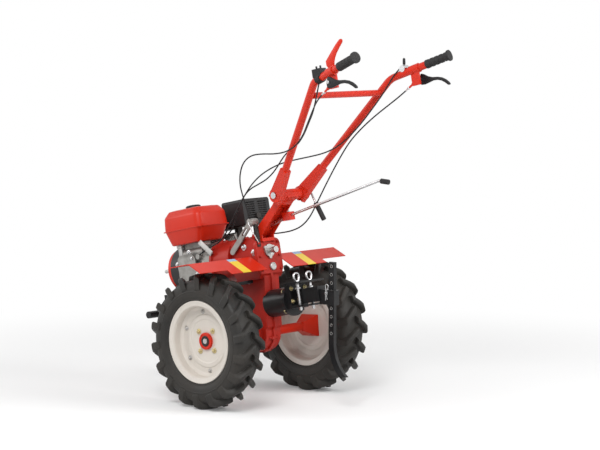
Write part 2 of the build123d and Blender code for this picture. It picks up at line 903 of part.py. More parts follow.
def carburettor():
    half_x, half_y = carburettor_length / 2, carburettor_width / 2
    x, y = carburettor_x, carburettor_y
    body = block(x - half_x, x + half_x, y - half_y, y + half_y, carburettor_bottom_z, carburettor_top_z)
    stub_x, stub_y = intake_length / 2, intake_width / 2
    stub = block(
        x - stub_x, x + stub_x, y - stub_y, y + stub_y, intake_start_z, carburettor_bottom_z + overrun
    )
    throat_z = (carburettor_bottom_z + carburettor_top_z) / 2 + throat_radius / 2
    throat = rod((x, filter_y + filter_width / 2 + running_gap, throat_z), (x, y, throat_z), throat_radius)
    return body + throat + (stub - cylinder())


def engine_frame():
    """Two rails under the engine, a cross plate, and the ears that hold the front tube."""
    ear_x, _, ear_z = leaning(axle_x + stand_x, 0, stand_z)
    rail_low = engine_base_z - rail_depth
    outer = rail_y + rail_width / 2
    inner = rail_y - rail_width / 2
    face = rail_end - front_plate_wall
    solid = block(face, rail_end, -outer, outer, engine_base_z - front_plate_drop, engine_base_z)
    plate_low = engine_base_z - rail_plate_wall
    solid = solid + block(rail_plate_start, rail_plate_end, -rail_y, rail_y, plate_low, engine_base_z)
    ear = [
        (face, engine_base_z), (rail_end, engine_base_z), (ear_x + ear_reach, ear_z + ear_reach * 0.6),
        (ear_x + ear_reach, ear_z - ear_reach * 0.9), (ear_x - ear_reach, ear_z - ear_reach * 0.9),
        (face - ear_reach / 2, engine_base_z - front_plate_drop),
    ]
    for hand in (1, -1):
        solid = solid + block(rail_start, rail_end, hand * inner, hand * outer, rail_low, engine_base_z)
        low, high = sorted((hand * (ear_y - ear_wall / 2), hand * (ear_y + ear_wall / 2)))
        solid = solid + side(ear, low, high)
    return solid + across(ear_x, ear_z, -bumper_half, bumper_half, bumper_radius)


def front_stand():
    sleeve = across(
        stand_x, stand_z, -stand_sleeve_half, stand_sleeve_half, bumper_radius + stand_sleeve_wall
    )
    leg = rod((stand_x, 0, stand_z), (stand_foot_x, 0, stand_foot_wall / 2), stand_leg_radius)
    above_ground = block(0, stand_x * 2, -stand_foot_width, stand_foot_width, 0, stand_z * 2)
    foot = Pos(stand_foot_x, 0, 0) * Box(
        stand_foot_length, stand_foot_width, stand_foot_wall, align=STAND_ON
    )
    bore = across(stand_x, stand_z, -2 * stand_sleeve_half, 2 * stand_sleeve_half, bumper_radius + fit_gap)
    return upright * ((leg & above_ground) + foot + sleeve - bore)


def handle_post():
    length, height = post_front - post_rear, post_top_z - post_foot_z
    solid = side(spread(post_shares, post_rear, post_foot_z, length, height), -post_half, post_half)
    hollow = spread(post_hollow_shares, post_rear, post_foot_z, length, height)
    solid = solid - side(hollow, post_wall - post_half, post_half - post_wall) - gear_case()
    solid = solid.solids().sort_by(SortBy.VOLUME)[-1]
    solid = solid + across(pivot_x, pivot_z, -cross_tube_half, cross_tube_half, cross_tube_radius)
    for hand in (1, -1):
        low, high = sorted((hand * cross_tube_half, hand * (cross_tube_half + tooth_disc_wall)))
        solid = solid + across(pivot_x, pivot_z, low, high, tooth_disc_radius)
        for i in range(disc_teeth):
            tooth = Pos(pivot_x, 0, pivot_z) * Rot(0, 360 / disc_teeth * i, 0)
            top = tooth_disc_radius + disc_tooth_rise
            solid = solid + tooth * block(
                -disc_tooth_rise / 2, disc_tooth_rise / 2, low, high, cross_tube_radius, top
            )
    reach = cross_tube_half + tooth_disc_wall + overrun
    return solid - across(pivot_x, pivot_z, -reach, reach, pivot_bolt_radius + running_gap)


def handle(hand):
    """One handle: pivot disc, tapered gusset and bent tube."""
    start = Vector(pivot_x, pivot_reach + gusset_wall / 2, pivot_z)
    way = (Vector(crossbar_x, crossbar_half, crossbar_z) - start).normalized()
    tube = bent_rod(
        [tuple(start + way * (gusset_length - gusset_overlap)), (bend_x, bend_y, bend_z), grip_line(grip_end_wall)],
        handle_tube_radius, bend_radius,
    )
    foot = Plane(origin=start - way * gusset_foot, x_dir=(0, 1, 0), z_dir=way)
    head = Plane(origin=start + way * gusset_length, x_dir=(0, 1, 0), z_dir=way)
    gusset = loft([
        foot * Rectangle(gusset_wall, gusset_depth),
        head * Rectangle(gusset_wall + 2 * overrun, 2 * handle_tube_radius + overrun),
    ])
    gusset = gusset & block(2 * grip_end_x, 0, pivot_reach, 2 * grip_end_y, 0, 2 * grip_end_z)
    face = pivot_reach + gusset_wall
    solid = tube + gusset + across(pivot_x, pivot_z, pivot_reach, face, tooth_disc_radius + overrun)
    solid = solid - across(pivot_x, pivot_z, 0, 2 * face, pivot_bolt_radius + fit_gap)
    solid = solid - across(pivot_x, pivot_z, face, 2 * face, pivot_recess_radius)
    return solid if hand > 0 else mirror(solid, about=Plane.XZ)


def pivot_bolt():
    reach = pivot_reach + gusset_wall
    solid = across(
        pivot_x, pivot_z, -reach - pivot_head_length, reach + pivot_head_length / 2, pivot_bolt_radius
    )
    for hand in (1, -1):
        low, high = sorted((hand * reach, hand * (reach + pivot_head_length)))
        solid = solid + across(pivot_x, pivot_z, low, high, pivot_head_radius)
    return solid


def crossbar():
    reach = crossbar_half - handle_tube_radius * 0.96
    return across(crossbar_x, crossbar_z, -reach, reach, crossbar_radius) - handle(1) - handle(-1)


def grip_way():
    return (Vector(grip_end_x, grip_end_y, grip_end_z) - Vector(bend_x, bend_y, bend_z)).normalized()


def grip_line(distance, drop=0.0, out=0.0):
    """A place along the left handle's end, measured back from the grip's end."""
    place = Vector(grip_end_x, grip_end_y, grip_end_z) - grip_way() * distance
    return (place.X, place.Y + out, place.Z - drop)


def grip():
    """A grip with finger grooves and a flange at its end."""
    body = grip_length - grip_flange_length
    pitch = body / (grip_grooves + 1)
    profile = [(0, grip_radius + grip_flange_rise), (grip_flange_length, grip_radius + grip_flange_rise)]
    profile = profile + [(grip_flange_length, grip_radius)]
    for i in range(grip_grooves):
        middle = grip_flange_length + pitch * (i + 1)
        profile = profile + [(middle - pitch / 4, grip_radius), (middle, grip_radius - grip_groove)]
        profile = profile + [(middle + pitch / 4, grip_radius)]
    profile = profile + [(grip_length - grip_groove, grip_radius), (grip_length, grip_radius - grip_groove)]
    return turned(profile, grip_line(0), grip_line(grip_length)) - handle(1)


def lever_bracket():
    """The clamp round the handle and the plate that carries the hand lever."""
    solid = rod(grip_line(bracket_far), grip_line(bracket_near), handle_tube_radius + bracket_wall)
    low = grip_line(bracket_far - overrun, bracket_drop)
    high = grip_line(bracket_near + overrun)
    y = low[1] + bracket_plate_shift
    half = bracket_plate_wall / 2
    return solid + block(low[0], high[0], y - half, y + half, low[2], high[2] - handle_tube_radius / 2) - handle(
        1
    )


def adjuster(route):
    """The threaded barrel that a cable leaves the bracket through, with its nut."""
    start, after = Vector(*leaning(*route[0])), Vector(*leaning(*route[1]))
    back = (start - after).normalized()
    solid = rod(tuple(start), tuple(start + back * adjuster_length), adjuster_radius)
    nut = start + back * (adjuster_length / 2)
    return solid + rod(tuple(nut), tuple(nut + back * adjuster_nut_length), adjuster_nut_radius)


def lever_boss(gap=0.0):
    """The pivot boss of the left hand lever, from the clamp's plate outwards."""
    x, y, z = grip_line(lever_root, lever_root_drop, lever_side)
    plate = grip_line(bracket_far - overrun)[1] + bracket_plate_shift + bracket_plate_wall / 2
    return across(x, z, plate + running_gap - gap, y + lever_radius + gap, lever_boss_radius + gap)


def lever_brackets():
    room = lever_boss(running_gap)
    left = lever_bracket() + adjuster(clutch_route) - room
    right = mirror(lever_bracket(), about=Plane.XZ) + adjuster(reverse_route) - mirror(room, about=Plane.XZ)
    return Compound(children=[left, right])


def hand_lever():
    root = grip_line(lever_root, lever_root_drop, lever_side)
    knee = grip_line(lever_knee, lever_knee_drop, lever_side)
    tip = grip_line(lever_tip, lever_tip_drop, lever_tip_side)
    return bent_rod([root, knee, tip], lever_radius, lever_bend) + lever_boss()


def front_hand_lever():
    """The flat tapered lever that stands up from the left clamp."""
    base = Vector(*grip_line(red_lever_at, -handle_tube_radius))
    way = Vector(red_lever_tip_x, red_lever_tip_y, red_lever_tip_z) - base
    foot = Plane(origin=base, x_dir=(0, 1, 0), z_dir=way)
    head = Plane(origin=base + way, x_dir=(0, 1, 0), z_dir=way)
    solid = loft(
        [foot * Rectangle(red_lever_wall, red_lever_foot), head * Rectangle(red_lever_wall, red_lever_head)]
    )
    return (solid - handle(1) - lever_bracket()).solids().sort_by(SortBy.VOLUME)[-1]


def switch_box():
    centre = grip_line(switch_at, -switch_rise)
    solid = Pos(*centre) * Box(switch_length, switch_width, switch_height)
    half = switch_clamp_length / 2
    clamp = rod(
        grip_line(switch_at + half), grip_line(switch_at - half), handle_tube_radius + switch_clamp_wall
    )
    top = centre[2] + switch_height / 2
    for share in (-0.25, 0.25):
        x = centre[0] + switch_length * share
        solid = solid + rod(
            (x, centre[1], top - overrun), (x, centre[1], top + toggle_length), toggle_radius
        )
    return solid + clamp - handle(1)


def throttle_lever():
    x, y, z = grip_line(throttle_at, -throttle_rise)
    solid = across(x, z, -y - throttle_half, -y + throttle_half, throttle_radius)
    arm = rod((x, -y, z), (x - throttle_arm_back, -y, z + throttle_arm_length), throttle_arm_radius)
    return solid + arm - handle(-1)


def gear_lever():
    rod_points = [
        (shift_x, shift_y, shift_z), (shift_knee_x, shift_y, shift_knee_z),
        (shift_end_x, shift_y, shift_end_z),
    ]
    solid = bent_rod(rod_points, shift_radius, shift_bend)
    half = shift_block_width / 2
    low_y, high_y = shift_y - half, shift_y + half
    solid = solid + block(
        -shift_block_rear, -shift_block_front, low_y, high_y, shift_block_low, shift_block_high
    )
    solid = solid + rod(
        (shift_x, shift_y, shift_z), (shift_stem_x, shift_y, shift_stem_z), shift_stem_radius
    )
    return (solid - handle_post() - gear_case()).solids().sort_by(SortBy.VOLUME)[-1]


def turn_lever():
    points = [
        (turn_start_x, turn_y, turn_high_z), (turn_knee_x, turn_y, turn_high_z), (turn_out_x, turn_out_y, turn_out_z),
        (turn_rear_x, turn_out_y, turn_out_z + turn_radius), (turn_drop_x, turn_out_y, turn_drop_z),
    ]
    low, high = turn_out_x, turn_knee_x
    top = turn_high_z + turn_radius
    outline = [
        (low, turn_plate_z), (low + turn_plate_width, turn_plate_z),
        (low + turn_plate_width + turn_plate_lean, top), (low + turn_plate_lean, top),
    ]
    return bent_rod(points, turn_radius, turn_bend) + side(outline, turn_y, -post_half)


def lever_grips():
    """Rubber grips on the ends of the gear lever and the turning lever."""
    grips = []
    for knee, end, length, carrier in (
        ((shift_knee_x, shift_y, shift_knee_z), (shift_end_x, shift_y, shift_end_z), lever_grip_length, gear_lever()),
        ((turn_rear_x, turn_out_y, turn_out_z), (turn_drop_x, turn_out_y, turn_drop_z), turn_grip_length, turn_lever()),
    ):
        way = (Vector(*end) - Vector(*knee)).normalized()
        start = Vector(*end) - way * lever_grip_overlap
        grips.append(rod(tuple(start), tuple(start + way * length), lever_grip_radius) - carrier)
    return Compound(children=grips)


def clutch_arm():
    start = Vector(arm_x, arm_y, arm_z)
    end = Vector(arm_end_x, arm_y, arm_end_z)
    way = (end - start).normalized()
    plane = Plane(origin=(start + end) / 2, x_dir=way, z_dir=(0, 1, 0))
    plate = plane * extrude(
        SlotCenterToCenter((end - start).length, arm_width), amount=arm_wall / 2, both=True
    )
    slot = plane * Pos(-arm_slot_length * 0.6, 0, -arm_wall) * extrude(
        SlotOverall(arm_slot_length, arm_slot_width), amount=2 * arm_wall
    )
    boss = across(arm_x, arm_z, arm_boss_start, arm_boss_end, arm_boss_radius)
    stem = rod((arm_x, arm_stem_y, arm_stem_foot), (arm_x, arm_stem_y, arm_z), arm_stem_radius)
    return (plate - slot + boss + stem - gear_case()).solids().sort_by(SortBy.VOLUME)[-1]


def oil_caps():
    """The bearing cover with its filler, and the sight plug under it, on the case's rear face."""
    face = -case_rear

    def boss(y, z, start, length, radius):
        return rod((face - start, y, z), (face - start - length, y, z), radius)

    solid = boss(cover_y, cover_z, 0, cover_depth, cover_radius)
    for i in range(cover_ears):
        angle = math.radians(360 / cover_ears * (i + 0.25))
        y, z = cover_y + cover_radius * math.cos(angle), cover_z + cover_radius * math.sin(angle)
        solid = solid + boss(y, z, 0, cover_depth, cover_ear_radius)
    solid = solid + boss(cover_y, cover_z, 0, cover_stem_length, cover_stem_radius)
    solid = solid + boss(cover_y, cover_z, cover_stem_length, cover_knob_length, cover_knob_radius)
    return Compound(children=[solid, boss(sight_y, sight_z, 0, sight_depth, sight_radius)])


def rear_casting():
    solid = rod((casting_start, 0, casting_z), (casting_end, 0, casting_z), casting_radius)
    flange = casting_end + casting_flange_length
    solid = solid + rod(
        (flange, 0, casting_z), (casting_end, 0, casting_z), casting_radius + casting_flange_rise
    )
    for i in range(casting_bolts):
        angle = math.radians(360 / casting_bolts * (i + 0.5))
        y, z = casting_radius * math.cos(angle), casting_z + casting_radius * math.sin(angle)
        solid = solid + rod((flange, y * 1.1, z), (casting_end, y * 1.1, z), casting_bolt_radius)
    return solid - gear_case()


def hitch_bracket():
    solid = block(hitch_face, casting_end, -hitch_head_half, hitch_head_half, hitch_bottom_z, hitch_top_z)
    top_low = hitch_top_z - hitch_plate_wall
    solid = solid + block(hitch_rear, hitch_face, -hitch_top_half, hitch_top_half, top_low, hitch_top_z)
    low = hitch_bottom_z + hitch_low_rise
    solid = solid + block(
        hitch_rear, hitch_face, -hitch_low_half, hitch_low_half, low, low + hitch_plate_wall
    )
    for hand in (1, -1):
        y = hand * hitch_pin_y
        solid = solid - rod(
            (hitch_pin_x, y, hitch_pin_foot), (hitch_pin_x, y, hitch_pin_head), hitch_pin_radius + fit_gap
        )
    return solid


def drawbar():
    solid = block(drawbar_rear, hitch_face, -drawbar_half, drawbar_half, drawbar_low_z, drawbar_high_z)
    return solid


def hitch_pins():
    """Two pins with flat eyes, dropped through the hitch plates."""
    pins = []
    for hand in (1, -1):
        y = hand * hitch_pin_y
        pin = rod((hitch_pin_x, y, hitch_pin_foot), (hitch_pin_x, y, hitch_pin_head), hitch_pin_radius)
        collar = Pos(hitch_pin_x, y, hitch_top_z) * Cylinder(
            pin_collar_radius, pin_collar_height, align=STAND_ON
        )
        half = pin_eye_wall / 2
        eye = rod((hitch_pin_x - half, y, pin_eye_z), (hitch_pin_x + half, y, pin_eye_z), pin_eye_outer)
        hole = rod(
            (hitch_pin_x - 2 * half, y, pin_eye_z), (hitch_pin_x + 2 * half, y, pin_eye_z), pin_eye_inner
        )
        pins.append(pin + collar + eye - hole)
    return Compound(children=pins)


def coulter_bar():
    half_long = coulter_long / 2
    half_thick = coulter_thick / 2
    reach = half_thick + overrun
    top, bend = drawbar_height() + coulter_rise, drawbar_height() - coulter_bend_drop
    bar = block(coulter_x - half_long, coulter_x + half_long, -half_thick, half_thick, bend, top)
    centre_x = coulter_x - coulter_bend_radius
    ring = across(centre_x, bend, -half_thick, half_thick, coulter_bend_radius + half_long)
    ring = ring - across(centre_x, bend, -reach, reach, coulter_bend_radius - half_long)
    low = drawbar_height() - coulter_tip_drop
    bar = bar + (
        ring & block(coulter_x - coulter_tip_x, coulter_x + half_long, -half_thick, half_thick, low, bend)
    )
    z = drawbar_height() - coulter_first_hole_drop
    while z < top - coulter_hole_margin:
        bar = bar - across(coulter_x, z, -reach, reach, coulter_hole_radius)
        z = z + coulter_hole_pitch
    return upright * bar


def coulter_socket():
    half_long = coulter_long / 2
    half_thick = coulter_thick / 2
    outer_y = half_thick + socket_wall
    rear, front = coulter_x - half_long - socket_wall, coulter_x + socket_arm
    low, high = drawbar_height() - socket_drop, drawbar_height() + socket_rise
    box = block(rear, coulter_x + half_long + socket_wall, -outer_y, outer_y, low, high)
    arm = block(coulter_x + half_long, front, -outer_y, outer_y, low, high)
    reach_x, reach_y = half_long + running_gap, half_thick + running_gap
    well = block(coulter_x - reach_x, coulter_x + reach_x, -reach_y, reach_y, low - overrun, high + overrun)
    return upright * (box + arm - well) - parked * drawbar()


def fender(hand):
    """Flat plate in two widths, with a sloping flap behind and a bracket to the gear case."""
    x1 = fender_fold_x + fender_length
    low = fender_z - fender_sheet
    lap_y = fender_joint_y - fender_lap
    solid = block(fender_fold_x, x1, fender_inner_y, fender_outer_y, low, fender_z)
    solid = solid + block(
        fender_fold_x, x1, fender_joint_y - fender_bead, fender_joint_y, low - fender_sheet, low
    )
    fold = Pos(fender_fold_x, 0, fender_z) * Rot(0, -flap_slope_deg, 0)
    solid = solid + fold * block(-flap_inner, 0, fender_inner_y, fender_joint_y, -fender_sheet, 0)
    solid = solid + fold * block(-flap_outer, 0, lap_y, fender_outer_y, -fender_sheet, 0)
    solid = solid + block(
        fender_bracket_x, fender_bracket_x + fender_bracket_length, case_half_upper,
        fender_inner_y + fender_bracket_reach, low - fender_bracket_wall, low,
    )
    return solid if hand > 0 else mirror(solid, about=Plane.XZ)


def cable(route, *ends):
    """A sheathed cable along a route, each corner as round as its runs allow, cut off at its end pieces."""
    places = [Vector(*place) for place in route]
    runs = [after - before for before, after in zip(places, places[1:])]
    radii = []
    for before, after in zip(runs, runs[1:]):
        half_turn = math.radians(before.get_angle(after)) / 2
        radii.append(cable_round_share * min(before.length, after.length) / math.tan(half_turn))
    tube = bent_rod(route, cable_diameter / 2, radii)
    section = math.pi * (cable_diameter / 2) ** 2
    print("cable radii", [round(r) for r in radii], "length", round(tube.volume / section))
    for end in ends:
        tube = tube - end
    return tube.solids().sort_by(SortBy.VOLUME)[-1]


def chassis():
    pieces = {
        "gear_case": gear_case(),
        "bell_housing": bell_housing(),
        "clutch_adaptor": clutch_adaptor(),
        "crankcase": crankcase(),
        "cylinder": cylinder(),
        "fan_housing": fan_housing(),
        "recoil_cover": recoil_cover(),
        "fuel_tank": fuel_tank(),
        "tank_cap": tank_cap(),
        "silencer_guard": silencer_guard(),
        "silencer": silencer(),
        "air_filter": air_filter(),
        "carburettor": carburettor(),
        "engine_frame": engine_frame(),
        "handle_post": handle_post(),
        "gear_lever": gear_lever(),
        "turn_lever": turn_lever(),
        "lever_grips": lever_grips(),
        "clutch_arm": clutch_arm(),
        "oil_caps": oil_caps(),
        "rear_casting": rear_casting(),
        "hitch_bracket": hitch_bracket(),
        "drawbar": drawbar(),
        "hitch_pins": hitch_pins(),
        "fender_left": fender(1),
        "fender_right": fender(-1),
        "handle_left": handle(1),
        "handle_right": handle(-1),
        "pivot_bolt": pivot_bolt(),
        "crossbar": crossbar(),
        "grips": pair(grip()),
        "lever_brackets": lever_brackets(),
        "hand_levers": pair(hand_lever()),
        "front_hand_lever": front_hand_lever(),
        "switch_box": switch_box(),
        "throttle_lever": throttle_lever(),
    }
    for name, piece in pieces.items():
        nodes[name] = parked * piece


chassis()
wheels()
nodes["front_stand"] = front_stand()
nodes["coulter_socket"] = coulter_socket()
nodes["coulter"] = coulter_bar()
nodes["cable_clutch"] = cable(clutch_route, parked * clutch_arm())
nodes["cable_switch"] = cable(switch_route, nodes["switch_box"], nodes["crankcase"])
nodes["cable_throttle"] = cable(throttle_route, nodes["throttle_lever"], nodes["crankcase"])
nodes["cable_reverse"] = cable(reverse_route, nodes["gear_case"])

os.makedirs("parts", exist_ok=True)
for name, solid in nodes.items():
    export_step(solid, f"parts/{name}.step")
    print(name, len(solid.solids()), round(solid.volume / 1000, 1), "cm3")
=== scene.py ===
# %% [markdown]
# # A motor cultivator, dressed for its photograph
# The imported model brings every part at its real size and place. This script models the tyres, rims, tank,
# cables and hand levers again with finer shapes, adds the small trim, gives each part its finish, and
# sets a plain studio round it. Lengths are in metres.

# %% Load the frame
import bpy
import bmesh
import json
import math
from mathutils import Matrix, Vector


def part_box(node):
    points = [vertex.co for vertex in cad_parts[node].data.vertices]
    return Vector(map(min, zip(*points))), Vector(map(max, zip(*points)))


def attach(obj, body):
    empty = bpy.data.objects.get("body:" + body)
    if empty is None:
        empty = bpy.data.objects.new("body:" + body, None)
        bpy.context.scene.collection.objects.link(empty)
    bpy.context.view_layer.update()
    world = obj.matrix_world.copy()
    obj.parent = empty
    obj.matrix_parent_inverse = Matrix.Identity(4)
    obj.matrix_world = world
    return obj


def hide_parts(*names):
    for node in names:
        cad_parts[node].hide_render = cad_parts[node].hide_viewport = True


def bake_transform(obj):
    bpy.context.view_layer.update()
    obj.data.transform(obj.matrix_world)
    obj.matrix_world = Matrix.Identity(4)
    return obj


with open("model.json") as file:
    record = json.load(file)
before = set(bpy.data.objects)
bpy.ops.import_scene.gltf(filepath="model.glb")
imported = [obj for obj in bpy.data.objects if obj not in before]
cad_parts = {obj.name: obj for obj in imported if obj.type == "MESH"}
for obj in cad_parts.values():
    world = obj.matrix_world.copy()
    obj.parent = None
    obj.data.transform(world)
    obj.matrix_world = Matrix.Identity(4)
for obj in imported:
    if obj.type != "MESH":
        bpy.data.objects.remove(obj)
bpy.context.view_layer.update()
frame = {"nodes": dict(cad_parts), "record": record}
nodes = frame["nodes"]
sides = (("left", 1), ("right", -1))

# %% [markdown]
# ## The camera
# The photograph was taken from the left and behind with a long lens, a little above the handlebars. The
# camera's place was worked out from the two wheels, whose size is known, and the script only repeats it.

# %% Camera
camera_place = Vector((-6.4373, 6.888, 1.704))
camera_turn_deg = 47.455
camera_dip_deg = 5.637
camera_roll_deg = 0.105
camera_focal_mm = 131.14
sensor_mm = 36.0


def placed(name, data):
    """An object of the scene that shows some data."""
    thing = bpy.data.objects.new(name, data)
    bpy.context.scene.collection.objects.link(thing)
    return thing


turn, dip = math.radians(camera_turn_deg), math.radians(camera_dip_deg)
look = Vector((math.cos(turn) * math.cos(dip), -math.sin(turn) * math.cos(dip), -math.sin(dip)))
camera_data = bpy.data.cameras.new("camera")
camera_data.lens = camera_focal_mm
camera_data.sensor_width = sensor_mm
camera = placed("camera", camera_data)
camera.location = camera_place
camera.rotation_mode = "QUATERNION"
level = look.to_track_quat("-Z", "Y")
camera.rotation_quaternion = level @ Matrix.Rotation(math.radians(camera_roll_deg), 3, "Z").to_quaternion()
bpy.context.scene.camera = camera
print("camera looks along", tuple(round(v, 3) for v in look))

# %% [markdown]
# ## Effects that many finishes share
# Paint, cast metal and rubber differ in colour, but the same few effects make each of them look real:
# colour and gloss that drift from place to place, a fine grain, and edges that are slightly round and
# slightly rubbed. A paint program would draw them by hand. Here each effect is a node group with named
# inputs, so one change reaches every material. The edge effect compares the true normal with a rounded
# one, and they differ only near an edge.

# %% Node groups for drift, grain and edges
number, tint, vector = "NodeSocketFloat", "NodeSocketColor", "NodeSocketVector"
white, black = (1, 1, 1, 1), (0, 0, 0, 1)


def new_group(name, inputs, outputs):
    """A node group, with the sockets that come into it and the node that takes its results."""
    group = bpy.data.node_groups.new(name, "ShaderNodeTree")
    for title, kind, value in inputs:
        socket = group.interface.new_socket(name=title, in_out="INPUT", socket_type=kind)
        if value is not None:
            socket.default_value = value
    for title, kind in outputs:
        group.interface.new_socket(name=title, in_out="OUTPUT", socket_type=kind)
    return group, group.nodes.new("NodeGroupInput").outputs, group.nodes.new("NodeGroupOutput")


def filled(tree, node, inputs):
    """A node with its inputs linked from sockets or set to values."""
    for name, value in inputs.items():
        if isinstance(value, bpy.types.NodeSocket):
            tree.links.new(value, node.inputs[name])
        else:
            node.inputs[name].default_value = value
    return node


def add_node(tree, kind, inputs, **settings):
    """A new node with its settings and its inputs."""
    node = tree.nodes.new(kind)
    for name, value in settings.items():
        setattr(node, name, value)
    return filled(tree, node, inputs)


def reckoned(tree, operation, *values, **settings):
    """The result of a Math node on sockets or numbers."""
    node = add_node(tree, "ShaderNodeMath", dict(enumerate(values)), operation=operation, **settings)
    return node.outputs[0]


def mixed(tree, share, first, second, label=""):
    """The first colour where the share is 0, and the second where it is 1."""
    links = {0: share, 6: first, 7: second}
    return add_node(tree, "ShaderNodeMix", links, data_type="RGBA", label=label).outputs[2]


def noise(tree, place, scale, detail, roughness=0.5):
    links = {"Vector": place, "Scale": scale, "Detail": detail, "Roughness": roughness}
    return add_node(tree, "ShaderNodeTexNoise", links).outputs["Fac"]


def ramp(tree, value, zero_at, one_at, **settings):
    """0 to 1 while a value goes from one limit to the other."""
    links = {"Value": value, "From Min": zero_at, "From Max": one_at}
    return add_node(tree, "ShaderNodeMapRange", links, **settings).outputs["Result"]


def drift_group():
    patches_from, patches_full = 0.35, 0.7
    group, given, out = new_group("drift", [
        ("Vector", vector, None), ("Colour", tint, white), ("Second colour", tint, black),
        ("Scale", number, 6.0), ("Amount", number, 0.3), ("Dull", number, 0.5), ("Dull swing", number, 0.1),
    ], [("Colour", tint), ("Roughness", number)])
    cloud = noise(group, given["Vector"], given["Scale"], 5.0, 0.6)
    spread = ramp(group, cloud, patches_from, patches_full)
    share = reckoned(group, "MULTIPLY", spread, given["Amount"])
    dullness = reckoned(group, "MULTIPLY_ADD", spread, given["Dull swing"], given["Dull"])
    colour = mixed(group, share, given["Colour"], given["Second colour"])
    filled(group, out, {"Colour": colour, "Roughness": dullness})
    return group


def grain_group():
    wide_share = 0.12
    group, given, out = new_group("grain", [
        ("Vector", vector, None), ("Scale", number, 400.0), ("Coarse", number, 0.3),
    ], [("Height", number)])
    fine = noise(group, given["Vector"], given["Scale"], 3.0)
    wide = noise(group, given["Vector"], reckoned(group, "MULTIPLY", given["Scale"], wide_share), 2.0)
    filled(group, out, {"Height": reckoned(group, "MULTIPLY_ADD", wide, given["Coarse"], fine)})
    return group


def edge_group():
    wear_starts, wear_full = 0.93, 0.78
    chip_scale, chips_start, chips_full = 60.0, 0.42, 0.62
    group, given, out = new_group("edges", [
        ("Vector", vector, None), ("Radius", number, 0.002), ("Rub", number, 0.5),
    ], [("Normal", vector), ("Wear", number)])
    softened = add_node(group, "ShaderNodeBevel", {"Radius": given["Radius"]}, samples=6).outputs["Normal"]
    true = group.nodes.new("ShaderNodeNewGeometry").outputs["Normal"]
    same = add_node(group, "ShaderNodeVectorMath", {0: softened, 1: true}, operation="DOT_PRODUCT")
    near = ramp(group, same.outputs["Value"], wear_starts, wear_full)
    broken = ramp(group, noise(group, given["Vector"], chip_scale, 6.0), chips_start, chips_full)
    worn = reckoned(group, "MULTIPLY", reckoned(group, "MULTIPLY", near, broken), given["Rub"])
    filled(group, out, {"Normal": softened, "Wear": worn})
    return group


groups = {"drift": drift_group(), "grain": grain_group(), "edges": edge_group()}
print("node groups", sorted(groups))

# %% [markdown]
# ## The finishes
# The machine has bright red paint on its sheet and tubes, a deeper red over rough castings, bare cast
# aluminium on the engine, whose colour is set dark with large darker patches as painted shade from the
# tank above it, black paint on the frame and hitch, zinc on its rods and bolts, cream enamel on the rims,
# and two rubbers. Each is one Principled shader that takes its colour, gloss and relief from the groups.
# Written by hand they would be fourteen similar trees, so one maker builds the tree and each finish is a
# row of values. Dull is the roughness, shine the strength of the reflection, grain the fineness of the
# relief and depth its height, and rub is how much of the rubbed colour shows on an edge.

# %% Make the finishes
coat_dull = 0.12


def new_material(name):
    """A material, and its tree of nodes."""
    material = bpy.data.materials.new(name)
    material.use_nodes = True
    return material, material.node_tree


def finish(name, colour, second, dull, metallic=0.0, coat=0.0, shine=0.5, scale=5.0, amount=0.3, swing=0.12,
           grain=500.0, coarse=0.2, depth=0.0002, radius=0.0015, rub=0.3, rubbed=(0.5, 0.5, 0.5)):
    material, tree = new_material(name)
    place = tree.nodes.new("ShaderNodeTexCoord").outputs["Object"]
    drift = add_node(tree, "ShaderNodeGroup", {
        "Vector": place, "Colour": (*colour, 1), "Second colour": (*second, 1), "Scale": scale,
        "Amount": amount, "Dull": dull, "Dull swing": swing,
    }, node_tree=groups["drift"]).outputs
    relief = add_node(tree, "ShaderNodeGroup", {
        "Vector": place, "Scale": grain, "Coarse": coarse,
    }, node_tree=groups["grain"]).outputs
    edges = add_node(tree, "ShaderNodeGroup", {
        "Vector": place, "Radius": radius, "Rub": rub,
    }, node_tree=groups["edges"]).outputs
    bump = add_node(tree, "ShaderNodeBump", {
        "Distance": depth, "Height": relief["Height"], "Normal": edges["Normal"],
    }).outputs["Normal"]
    filled(tree, tree.nodes["Principled BSDF"], {
        "Metallic": metallic, "Coat Weight": coat, "Coat Roughness": coat_dull, "Specular IOR Level": shine,
        "Base Color": mixed(tree, edges["Wear"], drift["Colour"], (*rubbed, 1), "rubbed edges"),
        "Roughness": drift["Roughness"], "Normal": bump,
    })
    return material


def dressed(name, material):
    for holder in nodes[name].material_slots:
        holder.material = material


